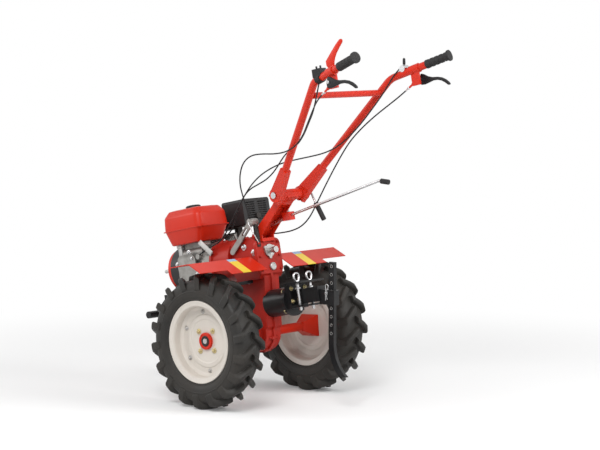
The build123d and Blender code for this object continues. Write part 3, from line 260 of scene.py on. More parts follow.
primer = (0.45, 0.42, 0.40)
looks = {
    "red_paint": dict(
        colour=(0.60, 0.022, 0.005), second=(0.46, 0.012, 0.003), dull=0.34, coat=0.06, shine=0.28,
        scale=3.0, amount=0.35, swing=0.10, grain=260, depth=0.00002, radius=0.0006, rub=0.12,
        rubbed=primer),
    "cast_red": dict(
        colour=(0.42, 0.013, 0.004), second=(0.20, 0.006, 0.003), dull=0.42, coat=0.05, shine=0.28,
        scale=7.0, amount=0.55, swing=0.18, grain=420, coarse=0.8, depth=0.00035, radius=0.004, rub=0.1,
        rubbed=primer),
    # The engine's aluminium is painted dark, with large darker patches, as painted shade under the tank.
    "bright_aluminium": dict(
        colour=(0.36, 0.35, 0.33), second=(0.11, 0.10, 0.09), dull=0.44, metallic=0.70, scale=14.0,
        amount=0.7, swing=0.2, grain=600, coarse=1.0, depth=0.0003, radius=0.003, rub=0.5,
        rubbed=(0.75, 0.75, 0.75)),
    "dark_engine": dict(
        colour=(0.014, 0.014, 0.015), second=(0.032, 0.029, 0.027), dull=0.40, coat=0.05, shine=0.3,
        scale=9.0, amount=0.4, grain=650, depth=0.00012, rub=0.35, rubbed=(0.2, 0.2, 0.2)),
    "black_steel": dict(
        colour=(0.008, 0.008, 0.009), second=(0.022, 0.021, 0.020), dull=0.32, coat=0.08, shine=0.3,
        scale=8.0, amount=0.4, depth=0.00012, rub=0.35, rubbed=(0.25, 0.24, 0.23)),
    "tyre_rubber": dict(
        colour=(0.015, 0.014, 0.0125), second=(0.045, 0.038, 0.031), dull=0.46, shine=0.32, scale=9.0,
        amount=0.5, swing=0.2, grain=350, coarse=0.5, depth=0.0004, radius=0.003, rub=0.4,
        rubbed=(0.13, 0.12, 0.105)),
    "cream_rim": dict(
        colour=(0.64, 0.595, 0.54), second=(0.51, 0.465, 0.41), dull=0.36, coat=0.12, scale=4.0,
        grain=600, depth=0.00006, rub=0.12, rubbed=(0.55, 0.45, 0.33)),
    "bright_steel": dict(
        colour=(0.62, 0.62, 0.63), second=(0.40, 0.39, 0.38), dull=0.22, metallic=1.0, scale=25.0,
        amount=0.45, depth=0.00002, radius=0.0003, rub=0.2),
    "plain_steel": dict(
        colour=(0.50, 0.49, 0.48), second=(0.32, 0.30, 0.27), dull=0.38, metallic=0.9, scale=20.0,
        amount=0.6, grain=700, depth=0.0001, rub=0.3, rubbed=(0.7, 0.7, 0.7)),
    "scorched_steel": dict(
        colour=(0.050, 0.044, 0.040), second=(0.020, 0.018, 0.017), dull=0.55, metallic=0.5, scale=25.0,
        amount=0.7, coarse=0.6, rub=0.1),
    "yellow_zinc": dict(
        colour=(0.60, 0.50, 0.24), second=(0.45, 0.40, 0.30), dull=0.32, metallic=0.9, scale=40.0,
        amount=0.6, grain=700, depth=0.00006, radius=0.001, rub=0.3),
    "grip_rubber": dict(
        colour=(0.018, 0.018, 0.019), second=(0.040, 0.038, 0.036), dull=0.58, shine=0.25, scale=30.0,
        amount=0.5, grain=900, coarse=0.4, depth=0.0003, rub=0.2, rubbed=(0.11, 0.11, 0.11)),
    "black_plastic": dict(
        colour=(0.011, 0.011, 0.012), second=(0.022, 0.022, 0.023), dull=0.42, shine=0.25, scale=12.0,
        amount=0.4, grain=1400, depth=0.00012, radius=0.002, rub=0.15, rubbed=(0.09, 0.09, 0.09)),
    "cable_sheath": dict(
        colour=(0.010, 0.010, 0.011), second=(0.022, 0.022, 0.022), dull=0.40, shine=0.25, scale=30.0,
        amount=0.4, grain=1200, depth=0.00006, radius=0.0005, rub=0.0),
}
finishes = {name: finish(name, **look) for name, look in looks.items()}
for part in frame["record"]["subparts"]:
    dressed(part["node"], finishes[part["material_slot"]])
dressed("silencer", finishes["scorched_steel"])
print("finishes", len(finishes))

# %% [markdown]
# ## Painted bands and two-coloured pieces
# Each fender has a band from front to back, pale blue at the fold and yellow behind it. The gear lever's
# clamp block is red on a zinc rod, and the clutch arm stands on a dark stem. Each is one sheet or forging
# in a colour that changes at a line, so the finish is copied and a second colour is laid over it where a
# mask on the Object coordinates says so. For the levers a Mapping node first turns those coordinates into
# the leaning frame, whose zero is the axle.

# %% Masks on Object coordinates
nose_down_deg = 12.0
band_sides = (0.181, 0.232)
yellow_ends, blue_ends = (-0.01, 0.0842), (0.0842, 0.1014)
block_ends = (-0.2768, -0.2312)
stem_sides, stem_ends = (0.03, 0.070), (0.30, 0.468)
band_yellow, band_blue = (0.82, 0.58, 0.05, 1), (0.32, 0.46, 0.66, 1)
block_red, stem_brown = (0.60, 0.018, 0.004, 1), (0.03, 0.026, 0.024, 1)

low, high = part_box("rim_left")
axle = Vector(((low.x + high.x) / 2, 0, (low.z + high.z) / 2))
wheel_y = (low.y + high.y) / 2
leaning = Matrix.Translation(axle) @ Matrix.Rotation(math.radians(nose_down_deg), 4, "Y")
print("axle", tuple(round(v, 4) for v in axle), "wheel middle", round(wheel_y, 4))


def between(tree, value, limits):
    """1 where a value lies between two limits, and 0 elsewhere."""
    least, most = limits
    return reckoned(tree, "COMPARE", value, (least + most) / 2, (most - least) / 2)


def places(tree, in_leaning_frame=False):
    """The X, Y and Z of each point of the surface."""
    place = tree.nodes.new("ShaderNodeTexCoord").outputs["Object"]
    if in_leaning_frame:
        back = leaning.inverted()
        links = {"Vector": place, "Location": back.to_translation(), "Rotation": back.to_euler()}
        place = add_node(tree, "ShaderNodeMapping", links).outputs["Vector"]
    return add_node(tree, "ShaderNodeSeparateXYZ", {0: place}).outputs


def laid_over(tree, mask, colour):
    """Lays a colour over what the shader has, where the mask is 1."""
    shader = tree.nodes["Principled BSDF"]
    under = shader.inputs["Base Color"].links[0].from_socket
    filled(tree, shader, {"Base Color": mixed(tree, mask, under, colour, "second colour")})


def copy_of(finish_name, name):
    """A finish's copy under a new name, and its tree."""
    material = finishes[finish_name].copy()
    material.name = name
    return material, material.node_tree


banded_red, tree = copy_of("red_paint", "banded_red")
at = places(tree)
in_band = between(tree, reckoned(tree, "ABSOLUTE", at["Y"]), band_sides)
for ends, colour in ((yellow_ends, band_yellow), (blue_ends, band_blue)):
    laid_over(tree, reckoned(tree, "MULTIPLY", in_band, between(tree, at["X"], ends)), colour)
dressed("fender_left", banded_red)
dressed("fender_right", banded_red)

red_block, tree = copy_of("bright_steel", "zinc_rod_red_block")
on_block = between(tree, places(tree, True)["X"], block_ends)
laid_over(tree, on_block, block_red)
filled(tree, tree.nodes["Principled BSDF"], {"Metallic": reckoned(tree, "SUBTRACT", 1.0, on_block)})
dressed("gear_lever", red_block)

dark_stem, tree = copy_of("bright_aluminium", "arm_on_dark_stem")
at = places(tree, True)
on_stem = reckoned(tree, "MULTIPLY", between(tree, at["Y"], stem_sides), between(tree, at["Z"], stem_ends))
laid_over(tree, on_stem, stem_brown)
dressed("clutch_arm", dark_stem)

# %% [markdown]
# ## The control cables
# Four sheathed cables run from the controls on the handlebars to the clutch, the throttle, the stop
# switch and the gear case. They hang between their ends, so none has a straight run. Each is a smooth
# NURBS line along the same places as the CAD tube, given a round section and turned into a mesh.

# %% Cables
cable_diameter = 0.006
cable_steps = 10
clutch_route = [
    (-0.493, 0.262, 1.371), (-0.447, 0.256, 1.339), (-0.389, 0.226, 1.283), (-0.338, 0.198, 1.231),
    (-0.296, 0.180, 1.180), (-0.254, 0.174, 1.138), (-0.200, 0.176, 1.108), (-0.135, 0.181, 1.096),
    (-0.065, 0.183, 1.094), (0.0, 0.183, 1.085), (0.050, 0.179, 1.053), (0.084, 0.165, 1.002),
    (0.100, 0.148, 0.948), (0.099, 0.129, 0.895), (0.093, 0.113, 0.846), (0.090, 0.097, 0.800),
]
switch_route = [
    (-0.447, 0.248, 1.402), (-0.434, 0.243, 1.369), (-0.411, 0.230, 1.325), (-0.376, 0.206, 1.279),
    (-0.325, 0.176, 1.234), (-0.276, 0.148, 1.187), (-0.223, 0.125, 1.144), (-0.174, 0.112, 1.115),
    (-0.124, 0.099, 1.094), (-0.080, 0.085, 1.057), (-0.030, 0.070, 1.011), (0.027, 0.058, 0.973),
    (0.085, 0.050, 0.948), (0.137, 0.052, 0.923), (0.170, 0.060, 0.883), (0.190, 0.068, 0.835),
    (0.209, 0.066, 0.782), (0.235, 0.061, 0.738), (0.278, 0.056, 0.704), (0.335, 0.053, 0.682),
    (0.374, 0.051, 0.671), (0.411, 0.050, 0.665),
]
throttle_route = [
    (-0.466, -0.244, 1.455), (-0.447, -0.226, 1.427), (-0.426, -0.217, 1.387), (-0.398, -0.208, 1.341),
    (-0.363, -0.190, 1.287), (-0.325, -0.175, 1.234), (-0.285, -0.158, 1.184), (-0.247, -0.140, 1.142),
    (-0.214, -0.112, 1.110), (-0.174, -0.080, 1.087), (-0.125, -0.038, 1.072), (-0.078, 0.0, 1.059),
    (-0.033, 0.032, 1.044), (0.014, 0.050, 1.020), (0.062, 0.060, 0.990), (0.105, 0.068, 0.950),
    (0.139, 0.076, 0.902), (0.170, 0.080, 0.852), (0.202, 0.081, 0.803), (0.232, 0.082, 0.755),
    (0.258, 0.085, 0.710), (0.290, 0.090, 0.680), (0.332, 0.096, 0.660), (0.372, 0.098, 0.638),
    (0.410, 0.096, 0.614),
]
reverse_route = [
    (-0.504, -0.262, 1.375), (-0.462, -0.257, 1.341), (-0.412, -0.232, 1.297), (-0.362, -0.201, 1.250),
    (-0.313, -0.173, 1.198), (-0.268, -0.154, 1.145), (-0.230, -0.146, 1.090), (-0.194, -0.141, 1.033),
    (-0.160, -0.135, 0.975), (-0.130, -0.126, 0.916), (-0.105, -0.112, 0.857), (-0.085, -0.095, 0.804),
    (-0.052, -0.078, 0.764), (-0.006, -0.064, 0.743), (0.041, -0.057, 0.733), (0.078, -0.054, 0.727),
    (0.110, -0.053, 0.724),
]


def smooth_line(name, points, steps, closed=False):
    """An object with a NURBS curve along a row of places."""
    line = bpy.data.curves.new(name, "CURVE")
    line.dimensions = "3D"
    line.resolution_u = steps
    spline = line.splines.new("NURBS")
    spline.points.add(len(points) - 1)
    for point, place in zip(spline.points, points):
        point.co = (*place, 1.0)
    spline.order_u = 3
    spline.use_endpoint_u = not closed
    spline.use_cyclic_u = closed
    return placed(name + "_line", line)


def as_mesh(holder):
    """The mesh that a curve object shows."""
    bpy.context.view_layer.update()
    return bpy.data.meshes.new_from_object(holder.evaluated_get(bpy.context.evaluated_depsgraph_get()))


def made_round(holder, radius, name):
    """A mesh object from a curve object with a round section. The curve itself goes away."""
    line = holder.data
    line.bevel_depth = radius
    line.bevel_resolution = 3
    line.use_fill_caps = True
    piece = placed(name, as_mesh(holder))
    bpy.data.objects.remove(holder)
    return piece


def cable(name, route):
    holder = smooth_line(name, route, cable_steps)
    path = [tuple(vertex.co) for vertex in as_mesh(holder).vertices]
    piece = made_round(holder, cable_diameter / 2, name + "_tube")
    tube = piece.data
    tube.materials.clear()
    tube.materials.append(finishes["cable_sheath"])
    tube.polygons.foreach_set("use_smooth", [True] * len(tube.polygons))
    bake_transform(piece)
    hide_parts(name)
    print(name, "points", len(path))


cable("cable_clutch", clutch_route)
cable("cable_switch", switch_route)
cable("cable_throttle", throttle_route)
cable("cable_reverse", reverse_route)

# %% [markdown]
# ## Shaping tools
# The rest is modelled as by hand: a primitive, an extrusion, an inset, a bevel. These few helpers do what
# the hand does between those steps. They select one piece alone, pick faces or edges by where they are,
# round the sharp edges, and set the finished piece on the body that carries it. The machine stands nose
# down, so most places are given in the leaning frame, with X forward along the gear case and Z up.

# %% Select, pick, round, place
along_y, along_z = 1, 2
level_slack = 0.001


def only(piece):
    bpy.ops.object.select_all(action="DESELECT")
    piece.select_set(True)
    bpy.context.view_layer.objects.active = piece


def edit(piece, kind="FACE"):
    """Goes into edit mode on one piece, with all of it selected."""
    only(piece)
    bpy.ops.object.mode_set(mode="EDIT")
    bpy.ops.mesh.select_mode(type=kind)
    bpy.ops.mesh.select_all(action="SELECT")


def done():
    bpy.ops.object.mode_set(mode="OBJECT")


def pick(piece, kind, wanted):
    """In edit mode, selects the faces, edges or vertices that pass a test on the element and its middle."""
    bpy.ops.mesh.select_mode(type=kind)
    bpy.ops.mesh.select_all(action="DESELECT")
    mesh = bmesh.from_edit_mesh(piece.data)
    for element in {"FACE": mesh.faces, "EDGE": mesh.edges, "VERT": mesh.verts}[kind]:
        corners = [element] if kind == "VERT" else element.verts
        middle = sum((corner.co for corner in corners), Vector()) / len(corners)
        if wanted(element, middle):
            element.select_set(True)
    bmesh.update_edit_mesh(piece.data)


def looks_along(axis):
    """A test for faces that look along an axis."""
    return lambda face, at: face.normal[axis] > 0.9


def faces_outward():
    bpy.ops.mesh.select_all(action="SELECT")
    bpy.ops.mesh.normals_make_consistent(inside=False)
    done()


def rounded(piece, width, segments=2, angle_deg=30.0):
    only(piece)
    edges = piece.modifiers.new("edges", "BEVEL")
    edges.width = width
    edges.segments = segments
    edges.limit_method = "ANGLE"
    edges.angle_limit = math.radians(angle_deg)
    bpy.ops.object.modifier_apply(modifier="edges")
    return piece


def settle(piece, place=None):
    """Puts a piece's place into its mesh, and then moves it by a matrix."""
    only(piece)
    bpy.ops.object.transform_apply(location=True, rotation=True, scale=True)
    if place is not None:
        piece.data.transform(place)
    return piece


def aimed(place, way):
    """The matrix that puts a piece's zero at a place and turns its Z along a direction."""
    return Matrix.Translation(place) @ Vector(way).to_track_quat("Z", "Y").to_matrix().to_4x4()


def add_to_machine(piece, name, look_of, body="chassis", place=None, stands_for=(), smooth_deg=35.0):
    settle(piece, place)
    piece.name = name
    piece.data.materials.clear()
    piece.data.materials.append(finishes[look_of])
    bpy.ops.object.shade_smooth_by_angle(angle=math.radians(smooth_deg))
    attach(piece, body)
    if stands_for:
        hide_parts(*stands_for)
    print(name, "faces", len(piece.data.polygons))


def joined(pieces):
    bpy.ops.object.select_all(action="DESELECT")
    for piece in pieces:
        piece.select_set(True)
    bpy.context.view_layer.objects.active = pieces[0]
    if len(pieces) > 1:
        bpy.ops.object.join()
    return bpy.context.object


def copied(model, places):
    """Copies of a model, one at each matrix, joined into one piece. The model itself goes away."""
    made = []
    for place in places:
        copy = model.copy()
        copy.data = model.data.copy()
        copy.data.transform(place)
        bpy.context.scene.collection.objects.link(copy)
        made.append(copy)
    bpy.data.objects.remove(model)
    return joined(made)


def turned(profile, segments=64, ring=False):
    """A turned piece about Z from (height, radius) steps, each an extrusion of the circle before it."""
    height, radius = profile[0]
    bpy.ops.object.select_all(action="DESELECT")
    bpy.ops.mesh.primitive_circle_add(vertices=segments, radius=radius, location=(0, 0, 0))
    piece = bpy.context.object
    edit(piece, "EDGE")
    bpy.ops.transform.translate(value=(0, 0, height))
    for next_height, next_radius in profile[1:]:
        bpy.ops.mesh.extrude_edges_move(TRANSFORM_OT_translate={"value": (0, 0, next_height - height)})
        grow = next_radius / radius
        bpy.ops.transform.resize(value=(grow, grow, 1), center_override=(0, 0, 0))
        height, radius = next_height, next_radius
    bpy.ops.mesh.select_all(action="SELECT")
    if ring:
        bpy.ops.mesh.remove_doubles(threshold=0.00002)
    else:
        bpy.ops.mesh.fill_holes(sides=0)
    faces_outward()
    return piece


def bar(start, end, radius, segments=16):
    """A round bar between two places."""
    start, end = Vector(start), Vector(end)
    piece = turned([(0, radius), ((end - start).length, radius)], segments)
    piece.data.transform(aimed(start, end - start))
    return piece


def slab(middle, size, turn=(0, 0, 0)):
    """A box with its middle at a place, made from a cube and ready for more work."""
    bpy.ops.object.select_all(action="DESELECT")
    bpy.ops.mesh.primitive_cube_add(size=1, location=middle, rotation=turn)
    piece = bpy.context.object
    piece.scale = size
    return settle(piece)


def circle(count, first_deg, wide, high=None):
    """Places round a circle, or round an oval that isn't as high as it is wide."""
    angles = [math.radians(360 / count * i + first_deg) for i in range(count)]
    return [(wide * math.cos(angle), (high or wide) * math.sin(angle)) for angle in angles]


# %% [markdown]
# ## Tyres
# Field tyres have a thin carcass and tall bars that lean forward in a chevron, so that mud is pushed out
# sideways. The carcass is a turned ring. One bar is shaped from a cube: it reaches from the middle of the
# tread to the shoulder, its top is narrowed, its outer end is moved back to set the lean, and that end is
# cut down towards the sidewall. Its top is then lifted to the tyre's own curve. Eighteen copies go on
# each side, half a step apart.

# %% Tyres
tyre_low, tyre_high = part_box("tyre_left")
crest_lift = 0.0010
tyre_radius = (tyre_high.z - tyre_low.z) / 2 + crest_lift
tyre_half_width = 0.067
bead_radius, carcass_radius = 0.156, 0.267
lugs_per_side = 18
lug_width, lug_sweep_deg, lug_edge, lug_bow = 0.024, 38.0, 0.0022, 0.004
lug_foot_share, lug_top_share = 1.3, 0.66
lug_reach = tyre_half_width * 1.05
lug_run = math.tan(math.radians(lug_sweep_deg)) * lug_reach
lug_root = bead_radius + (carcass_radius - bead_radius) * 0.62
shoulder_from, shoulder_drop = 0.72, 0.070
end_from, end_draws_in, end_draws_above = 0.95, 0.006, 0.45
wall_half = [
    (0.0517, 0.1560), (0.0517, 0.1783), (0.0560, 0.1800), (0.0585, 0.1835), (0.0580, 0.1870),
    (0.0618, 0.1915), (0.0655, 0.2030), (0.0670, 0.2110), (0.0670, 0.2150), (0.0682, 0.2165),
    (0.0682, 0.2190), (0.0668, 0.2205), (0.0662, 0.2360), (0.0625, 0.2500), (0.0560, 0.2590),
    (0.0440, 0.2640), (0.0290, 0.2665), (0.0120, 0.2672),
]


def wheel_ring(half, segments):
    """A ring turned about the axle, from the (outward, radius) places of one half of its section."""
    mirrored = [(-outward, radius) for outward, radius in reversed(half)]
    piece = turned(half + mirrored + half[:1], segments, ring=True)
    piece.data.transform(Matrix.Rotation(math.radians(-90), 4, "X"))
    return piece


def on_wheel(hand):
    return Matrix.Translation((axle.x, hand * wheel_y, axle.z))


def tyre_bar(hand):
    """One bar of the tread on the +Y or -Y side, at the top of a wheel whose middle is the zero."""
    height = tyre_radius - lug_root
    middle = (lug_run / 2, lug_reach / 2, (lug_root + tyre_radius) / 2)
    piece = slab(middle, (lug_width * lug_foot_share, lug_reach, height))
    edit(piece)
    bpy.ops.mesh.subdivide(number_cuts=4)
    pick(piece, "VERT", lambda v, at: at.z > tyre_radius - level_slack)
    bpy.ops.transform.resize(value=(lug_top_share, 1, 1), center_override=(lug_run / 2, 0, 0))
    done()
    for vertex in piece.data.vertices:
        out = vertex.co.y / lug_reach
        up = (vertex.co.z - lug_root) / height
        vertex.co.x -= lug_run * out
        crest = math.sqrt(tyre_radius**2 - vertex.co.x**2)
        if out > shoulder_from:
            crest -= shoulder_drop * (out - shoulder_from) ** 1.5
        vertex.co.z = lug_root + up * (crest - lug_root)
        if out > end_from:
            vertex.co.y -= end_draws_in * max(0.0, up - end_draws_above)
        vertex.co.x += lug_bow * math.sin(math.pi * out) * up
    rounded(piece, lug_edge, 2, 35)
    if hand < 0:
        piece.data.transform(Matrix.Scale(-1, 4, (0, 1, 0)))
        edit(piece)
        faces_outward()
    return piece


def tyre(side, hand):
    pieces = [wheel_ring(wall_half, 96)]
    step = 2 * math.pi / lugs_per_side
    for bar_hand, stagger in ((1, 0.25), (-1, 0.75)):
        turns = [Matrix.Rotation(step * (i + stagger), 4, "Y") for i in range(lugs_per_side)]
        pieces.append(copied(tyre_bar(bar_hand), turns))
    add_to_machine(joined(pieces), f"tyre_{side}_tread", "tyre_rubber", f"wheel_{side}", on_wheel(hand),
                   stands_for=(f"tyre_{side}",))


for side, hand in sides:
    tyre(side, hand)

# %% [markdown]
# ## Rims
# The rim is a rolled steel barrel with a flat disc welded in it. A turned profile gives both, with the
# rolled lips and the drop in the middle that hold the tyre's beads. The disc has the ring of pressed
# steps that stiffens it.

# %% Rims
rim_half = [
    (0.0030, 0.0350), (0.0030, 0.0920), (0.0060, 0.0960), (0.0060, 0.1120), (0.0030, 0.1160),
    (0.0045, 0.1370), (0.0140, 0.1505), (0.0440, 0.1512), (0.0530, 0.1560), (0.0545, 0.1700),
    (0.0575, 0.1752), (0.0550, 0.1782), (0.0520, 0.1778), (0.0519, 0.1600), (0.0500, 0.1557),
    (0.0300, 0.1550), (0.0240, 0.1535),
]
for side, hand in sides:
    dish = rounded(wheel_ring(rim_half, 112), 0.0008, 2, 25)
    add_to_machine(dish, f"rim_{side}_dish", "cream_rim", f"wheel_{side}", on_wheel(hand),
                   stands_for=(f"rim_{side}",))

# %% [markdown]
# ## Fuel tank
# The tank is two deep pressings joined at a seam that runs right round it. The upper one has soft
# shoulders and a crowned top, and the lower one draws in to a small floor. A cube gets round corners, is
# cut at the seam and the shoulders, its loops are drawn in, its top is inset, and a bevel makes it flow.
# The seam's lip is a thin plate a little larger all round.

# %% Fuel tank
tank_length, tank_width, shell_share = 0.246, 0.204, 0.97
tank_x, tank_y = 0.268, 0.030
tank_floor_z, tank_seam_z, tank_shoulder_z, tank_roof_z = 0.440, 0.506, 0.566, 0.593
drawn_in = ((tank_roof_z, 0.82, 0.78), (tank_shoulder_z, 0.975, 0.965), (tank_floor_z, 0.80, 0.80))
floor_forward, seam_band = 0.008, 0.012
crown_margin, crown_rise = 0.03, 0.004
lip_thickness = 0.0042
shell_corner, lip_corner, shell_edge, lip_edge = 0.034, 0.026, 0.009, 0.0012


def round_corners(piece, axis, least, radius, segments):
    """Rounds the edges that go further than the least along an axis, and stays in edit mode."""
    edit(piece, "EDGE")
    pick(piece, "EDGE", lambda edge, at: abs(edge.verts[0].co[axis] - edge.verts[1].co[axis]) > least)
    bpy.ops.mesh.bevel(offset=radius, segments=segments, affect="EDGES")


def tank():
    size = (tank_length * shell_share, tank_width * shell_share, tank_roof_z - tank_floor_z)
    body = slab((tank_x, tank_y, (tank_floor_z + tank_roof_z) / 2), size)
    round_corners(body, along_z, 0.1, shell_corner, 4)
    for cut_z in (tank_seam_z, tank_seam_z + seam_band, tank_shoulder_z):
        bpy.ops.mesh.select_all(action="SELECT")
        bpy.ops.mesh.bisect(plane_co=(0, 0, cut_z), plane_no=(0, 0, 1))
    for loop_z, along, across in drawn_in:
        pick(body, "VERT", lambda v, at: abs(at.z - loop_z) < level_slack)
        bpy.ops.transform.resize(value=(along, across, 1), center_override=(tank_x, tank_y, 0))
    bpy.ops.transform.translate(value=(floor_forward, 0, 0))
    pick(body, "FACE", looks_along(along_z))
    bpy.ops.mesh.inset(thickness=crown_margin, depth=crown_rise)
    done()
    rounded(body, shell_edge, 3, 14)
    lip = slab((tank_x, tank_y, tank_seam_z), (tank_length, tank_width, lip_thickness))
    round_corners(lip, along_z, 0.003, lip_corner, 5)
    done()
    rounded(lip, lip_edge, 2, 40)
    add_to_machine(joined([body, lip]), "tank_shell", "red_paint", place=leaning, stands_for=("fuel_tank",),
                   smooth_deg=50)


tank()

# %% [markdown]
# ## Bolts
# Dozens of hexagon bolts hold the machine together, and they catch the light like small sparks. One is
# modelled: a turned washer, a six-sided head, the bolt's own tip, and a fine bevel. It is then copied to
# every place, and the copies of one group are joined, so that the scene stays tidy. Most heads are zinc
# plated. Those on the hubs and the hitch are yellow, those in the rims are plain steel, and those along
# the case's seam and on its rear cover are painted over.

# %% Bolts
def bolt_model(across, washer=True):
    """A bolt's head on a seat at the zero. The steps are shares of its width across flats."""
    shapes = [(6, [(0.22 if washer else 0.0, 0.58), (0.72, 0.58), (0.80, 0.50)])]
    if washer:
        shapes.append((24, [(0.0, 0.95), (0.2, 0.95), (0.24, 0.88)]))
    shapes.append((16, [(0.7, 0.30), (0.98, 0.30), (1.05, 0.24)]))
    pieces = [
        turned([(across * height, across * radius) for height, radius in steps], segments)
        for segments, steps in shapes
    ]
    return rounded(joined(pieces), across * 0.04, 1, 40)


def bolts(name, across, seats, look_of="bright_steel", body="chassis", place=leaning, washer=True):
    piece = copied(bolt_model(across, washer), [aimed(seat, way) for seat, way in seats])
    add_to_machine(piece, name, look_of, body, place)


def both_sides(places, half):
    """Seats at the same (x, z) places on the left and on the right."""
    return [((x, half, z), left) for x, z in places] + [((x, -half, z), right) for x, z in places]


left, right, rearward, forward, downward = (0, 1, 0), (0, -1, 0), (-1, 0, 0), (1, 0, 0), (0, 0, -1)
case_rear_x, case_half, case_seam_half, case_boss_half = -0.125, 0.068, 0.015, 0.046
sump_circle = 0.080
seam_places = [(-0.0689, 0.4187), (0.0070, 0.4168), (0.0573, 0.1642), (0.0556, 0.0771), (-0.1073, 0.1255)]
for angle in map(math.radians, (-15, -62, -110, -158)):
    seam_places.append((sump_circle * math.cos(angle), sump_circle * math.sin(angle)))
bolts("case_seam_bolts", 0.011, both_sides(seam_places, case_seam_half), "cast_red")

cover_places = [(y, z) for y in (-0.060, 0.060) for z in (0.266, 0.326, 0.384)]
cover_places += [(0.030, 0.390), (-0.030, 0.390)]
bolts("rear_cover_bolts", 0.010, [((case_rear_x, y, z), rearward) for y, z in cover_places], "cast_red",
      washer=False)

box_seats = both_sides([(-0.100, 0.348), (-0.047, 0.378)], case_half)
bolts("case_side_bolts", 0.015, box_seats + both_sides([(-0.025, 0.231)], case_boss_half))

crank_z, bell_circle, bell_face = 0.330, 0.100, 0.140
bell_seats = [((bell_face, y, crank_z + z), rearward) for y, z in circle(6, 30, bell_circle)]
bolts("bell_bolts", 0.009, bell_seats, washer=False)

casting_x, casting_z, casting_half_width, casting_half_height = -0.218, 0.118, 0.066, 0.060
casting_places = circle(4, 45, casting_half_width, casting_half_height)
casting_seats = [((casting_x, y, casting_z + z), forward) for y, z in casting_places]
hitch_face_x, hitch_half_gap = -0.262, 0.042
hitch_seats = [
    ((hitch_face_x, hand * hitch_half_gap, z), rearward) for hand in (-1, 1) for z in (0.112, 0.168)
]
bolts("hitch_bolts", 0.011, casting_seats + hitch_seats, "yellow_zinc")

rail_half_gap, rail_foot_z = 0.078, 0.218
rail_seats = [
    ((x, hand * rail_half_gap, rail_foot_z), downward)
    for x in (0.215, 0.245, 0.275, 0.318) for hand in (-1, 1)
]
plate_face_x, plate_half_gap = 0.470, 0.080
plate_seats = [
    ((plate_face_x, hand * plate_half_gap, z), forward) for hand in (-1, 1) for z in (0.200, 0.222)
]
bolts("frame_bolts", 0.011, rail_seats + plate_seats)

hub_face, hub_bolt_circle, hub_turn_deg = 0.003, 0.059, 7
rim_face, rim_bolt_circle = 0.0035, 0.128
for side, hand in sides:
    way = left if hand > 0 else right
    hub_places = circle(4, 45 - hub_turn_deg * hand, hub_bolt_circle)
    hub_seats = [((x, hub_face * hand, z), way) for x, z in hub_places]
    bolts(f"hub_bolts_{side}", 0.013, hub_seats, "yellow_zinc", f"wheel_{side}", on_wheel(hand))
    rim_seats = [((x, rim_face * hand, z), way) for x, z in circle(6, 20, rim_bolt_circle)]
    bolts(f"rim_bolts_{side}", 0.011, rim_seats, "plain_steel", f"wheel_{side}", on_wheel(hand))

# %% [markdown]
# ## Oil window
# The round window low on the case's rear face shows the oil's level. It is one shallow turned disc, whose
# rim stands up round a sunk pane.

# %% Oil window
window_at = (case_rear_x - 0.006, -0.008, 0.279)
window_depth, pane_height = 0.0035, 0.0008
window = turned([
    (0.0, 0.0168), (window_depth * 0.6, 0.0168), (window_depth, 0.0155), (window_depth, 0.0122),
    (pane_height, 0.0112), (pane_height, 0.0040),
], 48)
add_to_machine(window, "oil_window_ring", "plain_steel", place=leaning @ aimed(window_at, rearward),
               smooth_deg=40)

# %% [markdown]
# ## Hub rings
# The red cap over the axle has a rubber dust ring let into its face, round the bright axle nut, and a low
# lip further out. Both are turned, with a rounded crown, and sit on the cap of each wheel.

# %% Hub rings
cap_face = 0.0120
dust_ring = [
    (0.0000, 0.0140), (0.0016, 0.0145), (0.0024, 0.0170), (0.0024, 0.0205), (0.0016, 0.0230),
    (0.0000, 0.0235), (0.0000, 0.0140),
]
cap_lip = [
    (0.0000, 0.0290), (0.0022, 0.0300), (0.0026, 0.0330), (0.0014, 0.0358), (0.0000, 0.0364),
    (0.0000, 0.0290),
]
for side, hand in sides:
    on_cap = aimed((axle.x, hand * (wheel_y + cap_face), axle.z), (0, hand, 0))
    for name, look_of, profile in (("hub_ring", "grip_rubber", dust_ring), ("hub_lip", "red_paint", cap_lip)):
        add_to_machine(turned(profile, 64, ring=True), f"{name}_{side}", look_of, f"wheel_{side}", on_cap)

# %% [markdown]
# ## Clutch rod and R-clip
# Thin zinc-plated wire does small jobs all over such a machine. Each piece of wire is a smooth curve with
# a round section, turned into a mesh. The clutch rod ties the arm to the case, and an R-clip keeps the
# coulter's pin in.

# %% Wire pieces
wire_steps = 6
rod_radius, clip_radius, loop_radius, hose_radius, lead_radius = 0.0022, 0.0017, 0.0044, 0.0042, 0.0035


def wire(name, points, radius, look_of="bright_steel", place=leaning, closed=False):
    piece = made_round(smooth_line(name, points, wire_steps, closed), radius, name)
    add_to_machine(piece, name, look_of, place=place, smooth_deg=60)


wire("clutch_rod", [
    (-0.122, 0.090, 0.482), (-0.122, 0.0965, 0.480), (-0.123, 0.0985, 0.472), (-0.127, 0.088, 0.440),
    (-0.131, 0.074, 0.410), (-0.1325, 0.066, 0.392), (-0.131, 0.062, 0.386), (-0.126, 0.060, 0.384),
], rod_radius)
clip_x, clip_y, pin_z = -0.283, 0.021, 0.502
clip_bends = [
    (0, 0, -0.030), (0, 0, -0.010), (0, 0, 0.022), (0, 0.001, 0.036), (-0.010, 0.001, 0.041),
    (-0.016, 0, 0.032), (-0.012, 0, 0.020), (-0.004, 0, 0.010), (-0.0105, 0, 0), (-0.004, 0, -0.012),
    (-0.010, 0, -0.026),
]
clip_places = [(clip_x + x, clip_y + y, pin_z + z) for x, y, z in clip_bends]
wire("coulter_clip", clip_places, clip_radius, place=Matrix())
pin_half, clip_pin_radius, pin_edge = clip_y + 0.003, 0.0045, 0.0008
